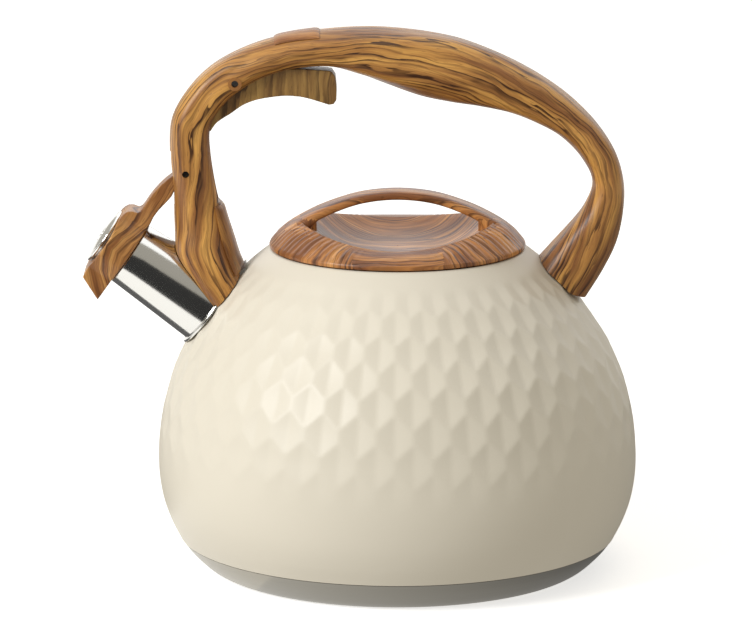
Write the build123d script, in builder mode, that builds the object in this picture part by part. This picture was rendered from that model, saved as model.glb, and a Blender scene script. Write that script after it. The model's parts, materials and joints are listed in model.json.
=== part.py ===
"""Stovetop whistling kettle: steel vessel, steel spout, wood-pattern handle with a squeeze trigger
that lifts the whistle cover off the spout, and a lift-off lid.

Frame: millimetres, +Z up, origin on the resting plane under the vessel's axis, spout towards -X.
"""

import math
import os

from build123d import *

os.makedirs("parts", exist_ok=True)

# ---- Vessel ----------------------------------------------------------------------------------
SHEET = 0.8  # steel sheet of the vessel, base and lid
BELLY_R = 103.0  # widest radius of the vessel
BELLY_Z = 48.0
SEAM = (94.2, 13.6)  # radius and height where the painted shell meets the steel base
SHOULDER = (55.2, 138.2)  # where the shell rolls over into the lid seat
SHOULDER_WAY = (-0.76, 0.65)  # direction of the shell there
ROLL_R = 1.8
SEAT_Z = 135.2  # ledge that the lid rests on
SEAT_R = 52.2
MOUTH_R = 46.6  # fill opening
MOUTH_BOTTOM = 129.5
BASE_FLAT_R = 76.0
SPREADER_T = 3.2  # aluminium heat spreader inside the base
PAN_TOP = 18.0  # top edge of the inner pan, lapped inside the shell
GAP = 0.05  # fit between sheets that are brazed together

# ---- Spout -----------------------------------------------------------------------------------
SPOUT_TILT = 35.0  # degrees above the horizon
SPOUT_MOUTH = Vector(-114.8, 0, 136.0)
SPOUT_MOUTH_R = 14.2
SPOUT_TAPER = 3.2  # degrees per side
SPOUT_LENGTH = 52.0  # made long, then trimmed to the shell
COLLAR_R = 18.4
COLLAR_T = 1.4

# ---- Handle: outer edge, inner edge (x, z each) and half width across, from front foot to rear --
STATIONS = [
    (-78.9, 110.5, -61.3, 118.4, 19.6),
    (-88.6, 125.6, -68.4, 134.2, 19.0),
    (-94.4, 136.0, -71.2, 143.4, 17.4),
    (-95.6, 150.0, -74.0, 152.6, 14.8),
    (-96.1, 165.0, -77.2, 165.0, 13.2),
    (-97.7, 180.0, -79.6, 180.4, 12.5),
    (-96.8, 196.0, -79.8, 191.6, 12.5),
    (-90.0, 208.4, -76.6, 198.6, 12.5),
    (-80.0, 218.8, -69.6, 206.2, 12.5),
    (-66.0, 227.0, -59.4, 213.0, 12.5),
    (-50.0, 232.4, -46.2, 217.8, 12.8),
    (-30.0, 235.2, -29.0, 219.0, 13.2),
    (-13.1, 236.0, -15.6, 214.8, 13.8),
    (1.1, 235.1, -3.4, 210.2, 14.2),
    (16.1, 233.0, 9.6, 205.7, 14.2),
    (31.2, 229.3, 22.6, 203.1, 14.0),
    (46.2, 223.2, 35.4, 201.3, 13.6),
    (61.3, 214.8, 47.9, 198.6, 13.2),
    (74.4, 205.1, 59.1, 194.0, 12.8),
    (86.0, 193.0, 70.3, 187.6, 12.5),
    (93.6, 181.0, 79.0, 178.4, 12.5),
    (97.1, 168.0, 83.6, 168.0, 12.8),
    (97.0, 155.8, 80.0, 157.0, 13.4),
    (94.2, 141.8, 72.8, 147.2, 14.0),
    (88.6, 129.4, 64.6, 138.0, 14.6),
    (81.4, 117.4, 56.0, 128.6, 15.2),
]
CHANNEL_STATIONS = STATIONS[4:12]  # the hollow stretch that holds the trigger
FOOT_GAP = 0.3  # between the handle's feet and the steel
LEG_COVER_HALF = 9.5
TOP_CAP_HALF = 10.5
BRACKET_T = 2.0
BRACKET_HALF = 7.0
PAD_HALF = 9.0
WALL = 3.0  # handle wall over the channel
CHANNEL_HALF = 6.5
CHANNEL_FLOOR = 157.5
CHANNEL_END_X = -24.0

# ---- Mechanism -------------------------------------------------------------------------------
TRIGGER_PIVOT = Vector(-69.0, 0, 211.1)
COVER_PIVOT = Vector(-90.1, 0, 172.1)
PIN_R = 1.5
BORE_R = 1.55
PIN_HALF = 9.5  # the pins sit below the handle's surface
COVER_RATIO = 4.0  # cover degrees per trigger degree
TRIGGER_TRAVEL = 10.0
NOSE_R = 1.8
NOSE_LAG = 13.0  # degrees from the line of pivots to the nose at rest
NOSE_GAP = 0.2
TRIGGER_HALF = 5.5
ARM_HALF = 5.0
SLOT_HALF = 5.7
TAIL_HALF = 3.0
HUB_R = 4.8

# ---- Screws ----------------------------------------------------------------------------------
SCREW_R = 1.9
SCREW_HEAD_R = 3.4
SCREW_HEAD_T = 1.8

# ---- Whistle cover ---------------------------------------------------------------------------
CAP_LIFT = 0.35  # gap between the cap and the spout's mouth
CAP_R = 17.6
CAP_T = 12.0
CAP_TAB = 22.0  # reach of the finger tab below the spout's axis
WHISTLE_R = 11.0
WHISTLE_HOLE_R = 2.2
DOME_R = 12.4
DOME_RISE = 2.2

# ---- Spring ----------------------------------------------------------------------------------
SPRING_R = 3.2  # mean coil radius
SPRING_WIRE = 0.8
SPRING_PITCH = 1.0
SPRING_TURNS = 4
SPRING_LEG = 7.5
SPRING_ROOM_R = 4.4
SPRING_ROOM_HALF = 3.2

# ---- Spring ----------------------------------------------------------------------------------
SPRING_R = 3.2  # mean coil radius
SPRING_WIRE = 0.8
SPRING_PITCH = 1.0
SPRING_TURNS = 4
SPRING_LEG = 7.5
SPRING_ROOM_R = 4.4
SPRING_ROOM_HALF = 3.2

# ---- Lid -------------------------------------------------------------------------------------
LID_R = 54.9
LID_RIM_Z = 140.0
LID_TOP_Z = 163.9
DISH_FLOOR = 138.8
ARCH_HALF = 6.8
ARCH_T = 3.4
LID_SCREW_X = 39.0
LID_SKIRT = 9.0

spout_dir = Vector(-math.cos(math.radians(SPOUT_TILT)), 0, math.sin(math.radians(SPOUT_TILT)))
spout_plane = Plane(origin=SPOUT_MOUTH, x_dir=(0, 1, 0), z_dir=spout_dir)


def shifted(line, amount):
    """Spline that runs beside a curve at a set distance, to the left of its travel."""
    places = [step / 12 for step in range(13)]
    points = [line.position_at(place) for place in places]
    ways = [line.tangent_at(place) for place in places]
    moved = [(p.X - amount * w.Y, p.Y + amount * w.X) for p, w in zip(points, ways)]
    return Spline(*moved, tangents=[ways[0], ways[-1]])


def wall_line(grow=0.0):
    """Line of the vessel's side, from the base seam up to the shoulder, grown outwards."""
    wall = Spline(
        SEAM, (100.9, 29.5), (BELLY_R, BELLY_Z), (101.2, 67.0), (95.2, 88.5),
        (84.0, 108.5), (70.2, 125.8), SHOULDER,
        tangents=[(0.47, 0.88), SHOULDER_WAY], mode=Mode.PRIVATE,
    )  # fmt: skip
    return shifted(wall, -grow)


def base_line(grow=0.0):
    """Line of the base, from its flat out to the seam, grown outwards."""
    base = Spline(
        (BASE_FLAT_R, 0), (83.6, 2.3), SEAM, tangents=[(1, 0), (0.47, 0.88)], mode=Mode.PRIVATE
    )
    return shifted(base, -grow)


def vessel_face(grow):
    """Filled half section of the vessel above its base seam, grown outwards."""
    with BuildSketch(Plane.XZ) as face:
        with BuildLine():
            wall = wall_line(grow)
            Polyline(wall @ 1, (0, (wall @ 1).Y), (0, (wall @ 0).Y), wall @ 0)
        make_face()
    return face.sketch


# ---- kettle_body: the painted shell, from the base seam to the lid seat -----------------------
with BuildPart() as kettle_body:
    with BuildSketch(Plane.XZ):
        with BuildLine():
            side = wall_line()
            inside = wall_line(-SHEET)
            Line(side @ 0, inside @ 0)
            Line(side @ 1, inside @ 1)
        make_face()
        with BuildLine():
            roll_sweep = 270 - math.degrees(math.atan2(SHOULDER_WAY[1], SHOULDER_WAY[0]))
            roll = JernArc(SHOULDER, SHOULDER_WAY, ROLL_R, roll_sweep)
            FilletPolyline(
                roll @ 1, (SEAT_R, SEAT_Z), (MOUTH_R, SEAT_Z), (MOUTH_R, MOUTH_BOTTOM), radius=1.0
            )
            offset(amount=SHEET, side=Side.LEFT)
        make_face()
    revolve(axis=Axis.Z)
    with BuildSketch(spout_plane.offset(-SPOUT_LENGTH)):
        Circle(SPOUT_MOUTH_R + 1.2)
    extrude(amount=SPOUT_LENGTH, mode=Mode.SUBTRACT)
kettle_body.part.label = "kettle_body"
export_step(kettle_body.part, "parts/kettle_body.step")

# ---- base_cap: the bare steel cap that closes the bottom --------------------------------------
with BuildPart() as base_cap:
    with BuildSketch(Plane.XZ):
        with BuildLine():
            foot = base_line()
            inner = base_line(-SHEET)
            Polyline(foot @ 0, (0, 0), (0, SHEET), inner @ 0)
            Line(foot @ 1, inner @ 1)
        make_face()
        with Locations((0, -1)):
            Rectangle(SEAM[0] + 5, SEAM[1] + 1 - GAP, align=(Align.MIN, Align.MIN), mode=Mode.INTERSECT)
    revolve(axis=Axis.Z)
base_cap.part.label = "base_cap"
export_step(base_cap.part, "parts/base_cap.step")

# ---- heat_spreader: aluminium disc between the base cap and the inner pan ----------------------
with BuildPart() as heat_spreader:
    with BuildSketch(Plane.XY.offset(SHEET + GAP)):
        Circle(BASE_FLAT_R)
    extrude(amount=SPREADER_T)
heat_spreader.part.label = "heat_spreader"
export_step(heat_spreader.part, "parts/heat_spreader.step")

# ---- bottom_pan: the pan that holds the water, lapped inside the shell -------------------------
pan_floor = SHEET + SPREADER_T + 2 * GAP
with BuildPart() as bottom_pan:
    with BuildSketch(Plane.XZ):
        with BuildLine():
            under = Spline(
                (BASE_FLAT_R, pan_floor), (84.6, 5.6), (93.0, 13.6), (95.2, PAN_TOP),
                tangents=[(1, 0), (0.45, 0.89)],
            )  # fmt: skip
            over = shifted(under, SHEET)
            Polyline(under @ 0, (0, pan_floor), (0, pan_floor + SHEET), over @ 0)
            Line(under @ 1, over @ 1)
        make_face()
    revolve(axis=Axis.Z)
bottom_pan.part.label = "bottom_pan"
export_step(bottom_pan.part, "parts/bottom_pan.step")

# ---- spout: tapered steel tube, trimmed where it meets the shell -------------------------------
spout_section = Plane(origin=SPOUT_MOUTH, x_dir=spout_dir, z_dir=(0, -1, 0))
spout_axis = Axis(SPOUT_MOUTH, spout_dir)
flare = math.tan(math.radians(SPOUT_TAPER))


def spout_tube(length, outer, inner):
    """Half section of the spout between two radii at the mouth."""
    root_inner = inner + length * flare if inner else 0
    with BuildSketch(spout_section) as tube:
        with BuildLine():
            Polyline(
                (0, inner), (0, outer), (-length, outer + length * flare),
                (-length, root_inner), close=True,
            )  # fmt: skip
        make_face()
    return tube.sketch


with BuildPart(mode=Mode.PRIVATE) as shell_skin:
    add(vessel_face(GAP))
    revolve(axis=Axis.Z)

with BuildPart(mode=Mode.PRIVATE) as collar_skin:
    add(vessel_face(COLLAR_T))
    revolve(axis=Axis.Z)

with BuildPart(mode=Mode.PRIVATE) as room_skin:
    add(vessel_face(COLLAR_T + FOOT_GAP))
    revolve(axis=Axis.Z)

with BuildPart(mode=Mode.PRIVATE) as handle_skin:
    add(vessel_face(FOOT_GAP))
    revolve(axis=Axis.Z)

with BuildPart() as spout:
    add(spout_tube(SPOUT_LENGTH, SPOUT_MOUTH_R, SPOUT_MOUTH_R - SHEET))
    revolve(axis=spout_axis)
    add(shell_skin.part, mode=Mode.SUBTRACT)
spout.part.label = "spout"
export_step(spout.part, "parts/spout.step")

# ---- spout_collar: the flange that laps on to the shell around the spout ------------------------
with BuildPart() as spout_collar:
    with BuildSketch(spout_plane.offset(-SPOUT_LENGTH)):
        Circle(COLLAR_R)
    extrude(amount=SPOUT_LENGTH - 4)
    add(collar_skin.part, mode=Mode.INTERSECT)
    add(shell_skin.part, mode=Mode.SUBTRACT)
    add(spout_tube(SPOUT_LENGTH, SPOUT_MOUTH_R + GAP, 0))
    revolve(axis=spout_axis, mode=Mode.SUBTRACT)
spout_collar.part.label = "spout_collar"
export_step(spout_collar.part, "parts/spout_collar.step")

with BuildPart(mode=Mode.PRIVATE) as collar_room:
    with BuildSketch(spout_plane.offset(-SPOUT_LENGTH)):
        Circle(COLLAR_R + FOOT_GAP)
    extrude(amount=SPOUT_LENGTH - 4)
    add(room_skin.part, mode=Mode.INTERSECT)
    add(spout_tube(SPOUT_LENGTH, SPOUT_MOUTH_R + FOOT_GAP, 0))
    revolve(axis=spout_axis)


# ---- Handle core, shared by the handle's pieces ------------------------------------------------
def outer_point(station, shift=0.0):
    """Point on the handle's outer edge, moved towards the inner edge by shift."""
    outer, inner = Vector(station[0], station[1]), Vector(station[2], station[3])
    return outer + (inner - outer).normalized() * shift


def inner_point(station, shift=0.0):
    """Point on the handle's inner edge, moved towards the outer edge by shift."""
    outer, inner = Vector(station[0], station[1]), Vector(station[2], station[3])
    return inner + (outer - inner).normalized() * shift


def strip(points_a, points_b, half):
    """Plate between two runs of points in the XZ plane, centred on Y."""
    with BuildPart(mode=Mode.PRIVATE) as plate:
        with BuildSketch(Plane.XZ):
            Polygon(*[(p.X, p.Y) for p in points_a], *[(p.X, p.Y) for p in reversed(points_b)], align=None)
        extrude(amount=half, both=True)
    return plate.part


def rod(centre, radius, half):
    """Cylinder across the handle, along Y."""
    with BuildPart(mode=Mode.PRIVATE) as cylinder:
        with BuildSketch(Plane.XZ):
            with Locations((centre.X, centre.Z)):
                Circle(radius)
        extrude(amount=half, both=True)
    return cylinder.part


def screw(head_point, direction, length, clearance=0.0):
    """Pan-head screw whose head rests on head_point, shank along direction."""
    with BuildPart(mode=Mode.PRIVATE) as fastener:
        with BuildSketch(Plane(origin=head_point, z_dir=direction)):
            Circle(SCREW_R + clearance)
        extrude(amount=length + clearance)
        with BuildSketch(Plane(origin=head_point, z_dir=-direction)):
            Circle(SCREW_HEAD_R + clearance)
        extrude(amount=SCREW_HEAD_T + 10 * clearance)
    return fastener.part


def head_recess(head_point, direction, depth):
    """Counterbore that a screw head sits in."""
    with BuildPart(mode=Mode.PRIVATE) as recess:
        with BuildSketch(Plane(origin=head_point, z_dir=-direction)):
            Circle(SCREW_HEAD_R + 0.4)
        extrude(amount=depth)
    return recess.part


with BuildPart(mode=Mode.PRIVATE) as handle_core:
    for station in STATIONS:
        outer, inner = outer_point(station), inner_point(station)
        depth = (outer - inner).length
        middle = (outer + inner) / 2
        across = (outer - inner).normalized()
        with BuildSketch(
            Plane(origin=(middle.X, 0, middle.Y), x_dir=(across.X, 0, across.Y), z_dir=(across.Y, 0, -across.X))
        ):
            RectangleRounded(depth, 2 * station[4], 0.42 * depth)
    loft()

channel = strip(
    [Vector(-92.8, CHANNEL_FLOOR)] + [outer_point(s, WALL) for s in CHANNEL_STATIONS] + [Vector(CHANNEL_END_X, 232.4)],
    [Vector(-64, CHANNEL_FLOOR)] + [inner_point(s, -9) for s in CHANNEL_STATIONS] + [Vector(CHANNEL_END_X, 206)],
    CHANNEL_HALF,
)
arm_slot = strip(
    [Vector(-104, 157.2), Vector(-104, 181.0)],
    [Vector(-90, 157.5), Vector(-90, 181.0)],
    SLOT_HALF,
)
LEG_RUN = [(-95.8, 157.0, -75.6, 157.8), *STATIONS[3:0:-1], (-86.4, 122.4, -66.8, 131.0)]
leg_cover_plate = strip(
    [inner_point(s, -1.2) for s in LEG_RUN], [inner_point(s, 1.2) for s in LEG_RUN], LEG_COVER_HALF
)
leg_cover_pocket = strip(
    [inner_point(s, -9) for s in LEG_RUN], [inner_point(s, 1.2 + GAP) for s in LEG_RUN], LEG_COVER_HALF + GAP
)
TOP_RUN = [(-54.0, 231.2, -49.6, 217), (-46.0, 233.2, -43.0, 217), (-32.0, 235.0, -30.6, 217)]
top_cap_plate = strip(
    [outer_point(s, -1.4) for s in TOP_RUN], [outer_point(s, 1.4) for s in TOP_RUN], TOP_CAP_HALF
)
top_cap_pocket = strip(
    [outer_point(s, -9) for s in TOP_RUN], [outer_point(s, 1.4 + GAP) for s in TOP_RUN], TOP_CAP_HALF + GAP
)

# ---- brackets: steel tongues brazed to the shell, one inside each foot of the handle -----------
FRONT_TONGUE = [(-67.8, 124.0), (-68.2, 128.3), (-71.4, 132.4), (-73.6, 137.0), (-76.8, 146.5), (-79.0, 153.0)]
REAR_TONGUE = [(70.4, 122.0), (73.7, 129.8), (80.2, 139.0), (85.0, 148.4)]


def tongue(line, thickness, half):
    """Bent strap along a line in the XZ plane, centred on Y."""
    with BuildPart(mode=Mode.PRIVATE) as strap:
        with BuildSketch(Plane.XZ):
            with BuildLine():
                Polyline(*line)
                offset(amount=thickness / 2)
            make_face()
        extrude(amount=half, both=True)
    return strap.part


def bracket_pad(reach, half, skin):
    """Pad that follows the shell under a bracket, between two x values."""
    with BuildPart(mode=Mode.PRIVATE) as pad:
        with BuildSketch(Plane.XY.offset(100)):
            with Locations((sum(reach) / 2, 0)):
                Rectangle(reach[1] - reach[0], 2 * half)
        extrude(amount=40)
        add(skin, mode=Mode.INTERSECT)
        add(shell_skin.part, mode=Mode.SUBTRACT)
    return pad.part


FRONT_SCREW_HEAD = Vector(-74.4, 0, 142.7)
FRONT_SCREW_DIR = Vector(-0.948, 0, -0.319)
FRONT_SCREW_LENGTH = 9.0
FRONT_PAD = (-68.4, -65.0)
REAR_SCREW_HEAD = Vector(71.5, 0, 140.6)
REAR_SCREW_DIR = Vector(0.817, 0, -0.577)
REAR_SCREW_LENGTH = 13.0
REAR_PAD = (63.5, 73.5)

with BuildPart() as front_bracket:
    add(tongue(FRONT_TONGUE, BRACKET_T, BRACKET_HALF))
    add(bracket_pad(FRONT_PAD, PAD_HALF, collar_skin.part))
    add(shell_skin.part, mode=Mode.SUBTRACT)
    add(screw(FRONT_SCREW_HEAD, FRONT_SCREW_DIR, FRONT_SCREW_LENGTH, GAP), mode=Mode.SUBTRACT)
front_bracket.part.label = "front_bracket"
export_step(front_bracket.part, "parts/front_bracket.step")

with BuildPart() as rear_bracket:
    add(tongue(REAR_TONGUE, BRACKET_T, BRACKET_HALF))
    add(bracket_pad(REAR_PAD, PAD_HALF, collar_skin.part))
    add(shell_skin.part, mode=Mode.SUBTRACT)
    add(screw(REAR_SCREW_HEAD, REAR_SCREW_DIR, REAR_SCREW_LENGTH, GAP), mode=Mode.SUBTRACT)
rear_bracket.part.label = "rear_bracket"
export_step(rear_bracket.part, "parts/rear_bracket.step")

# ---- handle_screws: one screw through each foot into its bracket -------------------------------
with BuildPart() as handle_screws:
    add(screw(FRONT_SCREW_HEAD, FRONT_SCREW_DIR, FRONT_SCREW_LENGTH))
    add(screw(REAR_SCREW_HEAD, REAR_SCREW_DIR, REAR_SCREW_LENGTH))
handle_screws.part.label = "handle_screws"
export_step(handle_screws.part, "parts/handle_screws.step")

# ---- handle_shell: the moulded handle, hollow at the front for the trigger ---------------------
with BuildPart() as handle_shell:
    add(handle_core.part)
    add(handle_skin.part, mode=Mode.SUBTRACT)
    add(collar_room.part, mode=Mode.SUBTRACT)
    add(channel, mode=Mode.SUBTRACT)
    add(arm_slot, mode=Mode.SUBTRACT)
    add(leg_cover_pocket, mode=Mode.SUBTRACT)
    add(top_cap_pocket, mode=Mode.SUBTRACT)
    add(tongue(FRONT_TONGUE, BRACKET_T + 4 * GAP, BRACKET_HALF + GAP), mode=Mode.SUBTRACT)
    add(tongue(REAR_TONGUE, BRACKET_T + 4 * GAP, BRACKET_HALF + GAP), mode=Mode.SUBTRACT)
    add(screw(FRONT_SCREW_HEAD, FRONT_SCREW_DIR, FRONT_SCREW_LENGTH, GAP), mode=Mode.SUBTRACT)
    add(screw(REAR_SCREW_HEAD, REAR_SCREW_DIR, REAR_SCREW_LENGTH, GAP), mode=Mode.SUBTRACT)
    add(head_recess(FRONT_SCREW_HEAD, FRONT_SCREW_DIR, 5.0), mode=Mode.SUBTRACT)
    add(head_recess(REAR_SCREW_HEAD, REAR_SCREW_DIR, 9.0), mode=Mode.SUBTRACT)
    for reach in (FRONT_PAD, REAR_PAD):
        room = (reach[0] - GAP, reach[1] + GAP)
        add(bracket_pad(room, PAD_HALF + GAP, room_skin.part), mode=Mode.SUBTRACT)
    add(rod(TRIGGER_PIVOT, BORE_R, PIN_HALF + GAP), mode=Mode.SUBTRACT)
    add(rod(COVER_PIVOT, BORE_R, PIN_HALF + GAP), mode=Mode.SUBTRACT)
handle_shell.part.label = "handle_shell"
export_step(handle_shell.part, "parts/handle_shell.step")

# ---- handle_top_cap: raised pad on the crown ---------------------------------------------------
with BuildPart() as handle_top_cap:
    add(top_cap_plate)
    chamfer(handle_top_cap.edges().filter_by(Axis.Y).group_by(Axis.Z)[-1], length=0.8)
handle_top_cap.part.label = "handle_top_cap"
export_step(handle_top_cap.part, "parts/handle_top_cap.step")

# ---- leg_cover: plate on the inner side of the front leg, over the bracket's screw --------------
with BuildPart() as leg_cover:
    add(leg_cover_plate)
    add(handle_skin.part, mode=Mode.SUBTRACT)
leg_cover.part.label = "leg_cover"
export_step(leg_cover.part, "parts/leg_cover.step")

# ---- pins ---------------------------------------------------------------------------------------
with BuildPart() as trigger_pin:
    add(rod(TRIGGER_PIVOT, PIN_R, PIN_HALF))
trigger_pin.part.label = "trigger_pin"
export_step(trigger_pin.part, "parts/trigger_pin.step")

with BuildPart() as cover_pin:
    add(rod(COVER_PIVOT, PIN_R, PIN_HALF))
cover_pin.part.label = "cover_pin"
export_step(cover_pin.part, "parts/cover_pin.step")


# ---- trigger_lever: squeezed up into the handle, its nose pushes the cover's tail ---------------
def turned(centre, radius, degrees):
    """Point at a radius and angle from a centre, in the XZ plane."""
    angle = math.radians(degrees)
    return Vector(centre.X + radius * math.cos(angle), 0, centre.Z + radius * math.sin(angle))


def about_cover(point, degrees):
    """Point carried back into the cover's rest position from a cover angle."""
    angle = math.radians(degrees)
    x, z = point.X - COVER_PIVOT.X, point.Z - COVER_PIVOT.Z
    turned_x = x * math.cos(angle) - z * math.sin(angle)
    return Vector(turned_x + COVER_PIVOT.X, x * math.sin(angle) + z * math.cos(angle) + COVER_PIVOT.Z)


pivots = COVER_PIVOT - TRIGGER_PIVOT
line_angle = 180 + math.degrees(math.atan(pivots.Z / pivots.X))
nose_reach = pivots.length * COVER_RATIO / (1 + COVER_RATIO)
nose_rest = turned(TRIGGER_PIVOT, nose_reach, line_angle - NOSE_LAG)
elbow = turned(TRIGGER_PIVOT, 12.0, line_angle - NOSE_LAG)

with BuildPart() as trigger_lever:
    with BuildSketch(Plane.XZ):
        with BuildLine():
            lower = Spline(
                (-79.6, 189.6), (-75.6, 194.2), (-65.7, 200.6), (-54.8, 204.2), (-43.0, 204.6),
                (-33.3, 202.4), (-28.4, 201.2),
            )  # fmt: skip
            Line((-28.4, 201.2), (-25.8, 203.4))
            Line((-25.8, 203.4), (-26.6, 213.6))
            Line((-26.6, 213.6), (-29.8, 215.6))
            Spline((-29.8, 215.6), (-44.0, 216.8), (-58.0, 216.6), (-69.0, 216.4))
            Line((-69.0, 216.4), (-74.6, 213.4))
            Line((-74.6, 213.4), (-85.0, 198.4))
            Line((-85.0, 198.4), lower @ 0)
        make_face()
    extrude(amount=TRIGGER_HALF, both=True)
    with BuildSketch(Plane.XZ):
        with BuildLine():
            Polyline((nose_rest.X, nose_rest.Z), (elbow.X, elbow.Z))
            offset(amount=NOSE_R)
        make_face()
    extrude(amount=TRIGGER_HALF, both=True)
    add(rod(TRIGGER_PIVOT, BORE_R, TRIGGER_HALF + 1), mode=Mode.SUBTRACT)
    add(rod(TRIGGER_PIVOT, SPRING_ROOM_R, SPRING_ROOM_HALF), mode=Mode.SUBTRACT)
    with BuildSketch(Plane.XZ):
        with Locations((TRIGGER_PIVOT.X + 3, TRIGGER_PIVOT.Z + 5)):
            Rectangle(20, 10)
    extrude(amount=SPRING_ROOM_HALF, both=True, mode=Mode.SUBTRACT)
trigger_lever.part.label = "trigger_lever"
export_step(trigger_lever.part, "parts/trigger_lever.step")

# ---- trigger_spring: torsion spring around the trigger's pin ------------------------------------
with BuildPart() as trigger_spring:
    with BuildLine():
        coil = Helix(
            pitch=SPRING_PITCH, height=SPRING_TURNS * SPRING_PITCH, radius=SPRING_R, direction=(0, 1, 0),
            center=(TRIGGER_PIVOT.X, -SPRING_TURNS * SPRING_PITCH / 2, TRIGGER_PIVOT.Z),
        )  # fmt: skip
    with BuildSketch(Plane(origin=coil @ 0, z_dir=coil % 0)):
        Circle(SPRING_WIRE / 2)
    sweep(is_frenet=True)
    with BuildSketch(Plane(origin=coil @ 0, z_dir=(coil % 0) * -1)):
        Circle(SPRING_WIRE / 2)
    extrude(amount=SPRING_LEG)
    with BuildSketch(Plane(origin=coil @ 1, z_dir=coil % 1)):
        Circle(SPRING_WIRE / 2)
    extrude(amount=SPRING_LEG)
trigger_spring.part.label = "trigger_spring"
export_step(trigger_spring.part, "parts/trigger_spring.step")

# ---- spout_cover: hinged arm and cap over the spout's mouth -------------------------------------
nose_track = []
for squeeze in (0, TRIGGER_TRAVEL / 2, TRIGGER_TRAVEL):
    nose = turned(TRIGGER_PIVOT, nose_reach, line_angle - NOSE_LAG + squeeze)
    nose_track.append(about_cover(nose, COVER_RATIO * squeeze))
bearing = []
for index, point in enumerate(nose_track):
    before = nose_track[max(index - 1, 0)]
    after = nose_track[min(index + 1, 2)]
    along = (after - before).normalized()
    bearing.append(point + Vector(-along.Y, along.X) * (NOSE_R + NOSE_GAP))

with BuildPart() as spout_cover:
    with BuildSketch(spout_plane.offset(CAP_LIFT)):
        Circle(CAP_R)
        with BuildLine():
            Polyline(
                (-12.5, 10), (-9.5, CAP_TAB), (9.5, CAP_TAB), (12.5, 10), close=True
            )
        make_face()
    extrude(amount=CAP_T)
    chamfer(spout_cover.faces().sort_by(Axis(SPOUT_MOUTH, spout_dir))[-1].edges(), length=2.2)
    with BuildSketch(Plane.XZ):
        with BuildLine():
            Polyline(
                (-93.4, 168.0), (-95.4, 161.8), (-101.0, 156.4), (-105.6, 150.6), (-107.6, 146.6),
                (-115.0, 150.0), (-112.0, 155.4), (-109.3, 155.6), (-106.4, 160.2), (-101.8, 165.5),
                (-95.0, 171.0), (-94.0, 174.0), close=True,
            )  # fmt: skip
        make_face()
        with Locations((COVER_PIVOT.X, COVER_PIVOT.Z)):
            Circle(HUB_R)
    extrude(amount=ARM_HALF, both=True)
    with BuildSketch(Plane.XZ):
        with BuildLine():
            contact = ThreePointArc(*[(p.X, p.Y) for p in bearing])
            Polyline(
                contact @ 0, (COVER_PIVOT.X + 0.5, COVER_PIVOT.Z + 12.3), (COVER_PIVOT.X + 3.4, COVER_PIVOT.Z + 12.3),
                (COVER_PIVOT.X + 4.6, COVER_PIVOT.Z), (COVER_PIVOT.X - 3.0, COVER_PIVOT.Z), contact @ 1,
            )  # fmt: skip
        make_face()
    extrude(amount=TAIL_HALF, both=True)
    with BuildSketch(spout_plane.offset(CAP_LIFT - 1)):
        Circle(WHISTLE_R)
    extrude(amount=CAP_T + 2, mode=Mode.SUBTRACT)
    add(rod(COVER_PIVOT, BORE_R, ARM_HALF + 1), mode=Mode.SUBTRACT)
spout_cover.part.label = "spout_cover"
export_step(spout_cover.part, "parts/spout_cover.step")

# ---- whistle: a cup through the cap, a disc across it and a domed plate over it -----------------
CAP_FACE = CAP_LIFT + CAP_T
with BuildPart() as whistle_cup:
    with BuildSketch(spout_plane.offset(CAP_LIFT + 1.0)):
        Circle(WHISTLE_R - GAP)
        Circle(WHISTLE_R - GAP - SHEET, mode=Mode.SUBTRACT)
    extrude(amount=CAP_T - 1.0)
whistle_cup.part.label = "whistle_cup"
export_step(whistle_cup.part, "parts/whistle_cup.step")

with BuildPart() as whistle_disc:
    with BuildSketch(spout_plane.offset(CAP_LIFT + 5.0)):
        Circle(WHISTLE_R - 2 * GAP - SHEET)
        Circle(WHISTLE_HOLE_R, mode=Mode.SUBTRACT)
    extrude(amount=SHEET)
whistle_disc.part.label = "whistle_disc"
export_step(whistle_disc.part, "parts/whistle_disc.step")

with BuildPart() as whistle_dome:
    with BuildSketch(spout_section):
        with BuildLine():
            bulge = ThreePointArc(
                (CAP_FACE + GAP, DOME_R), (CAP_FACE + 0.72 * DOME_RISE, 0.62 * DOME_R), (CAP_FACE + DOME_RISE, 2.6)
            )
            offset(amount=SHEET / 2)
        make_face()
        with Locations((CAP_FACE + GAP, 0)):
            Rectangle(10, 20, align=(Align.MIN, Align.MIN), mode=Mode.INTERSECT)
    revolve(axis=spout_axis)
whistle_dome.part.label = "whistle_dome"
export_step(whistle_dome.part, "parts/whistle_dome.step")

# ---- lid ---------------------------------------------------------------------------------------
with BuildPart() as lid_plate:
    with BuildSketch(Plane.XY.offset(SEAT_Z + GAP)):
        Circle(SEAT_R - 1.2)
        with Locations((-LID_SCREW_X, 0), (LID_SCREW_X, 0)):
            Circle(SCREW_R + GAP, mode=Mode.SUBTRACT)
    extrude(amount=SHEET)
lid_plate.part.label = "lid_plate"
export_step(lid_plate.part, "parts/lid_plate.step")

with BuildPart() as lid_skirt:
    with BuildSketch(Plane.XY.offset(SEAT_Z)):
        Circle(MOUTH_R - SHEET - 0.5)
        Circle(MOUTH_R - 2 * SHEET - 0.5, mode=Mode.SUBTRACT)
    extrude(amount=-LID_SKIRT)
lid_skirt.part.label = "lid_skirt"
export_step(lid_skirt.part, "parts/lid_skirt.step")

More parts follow.
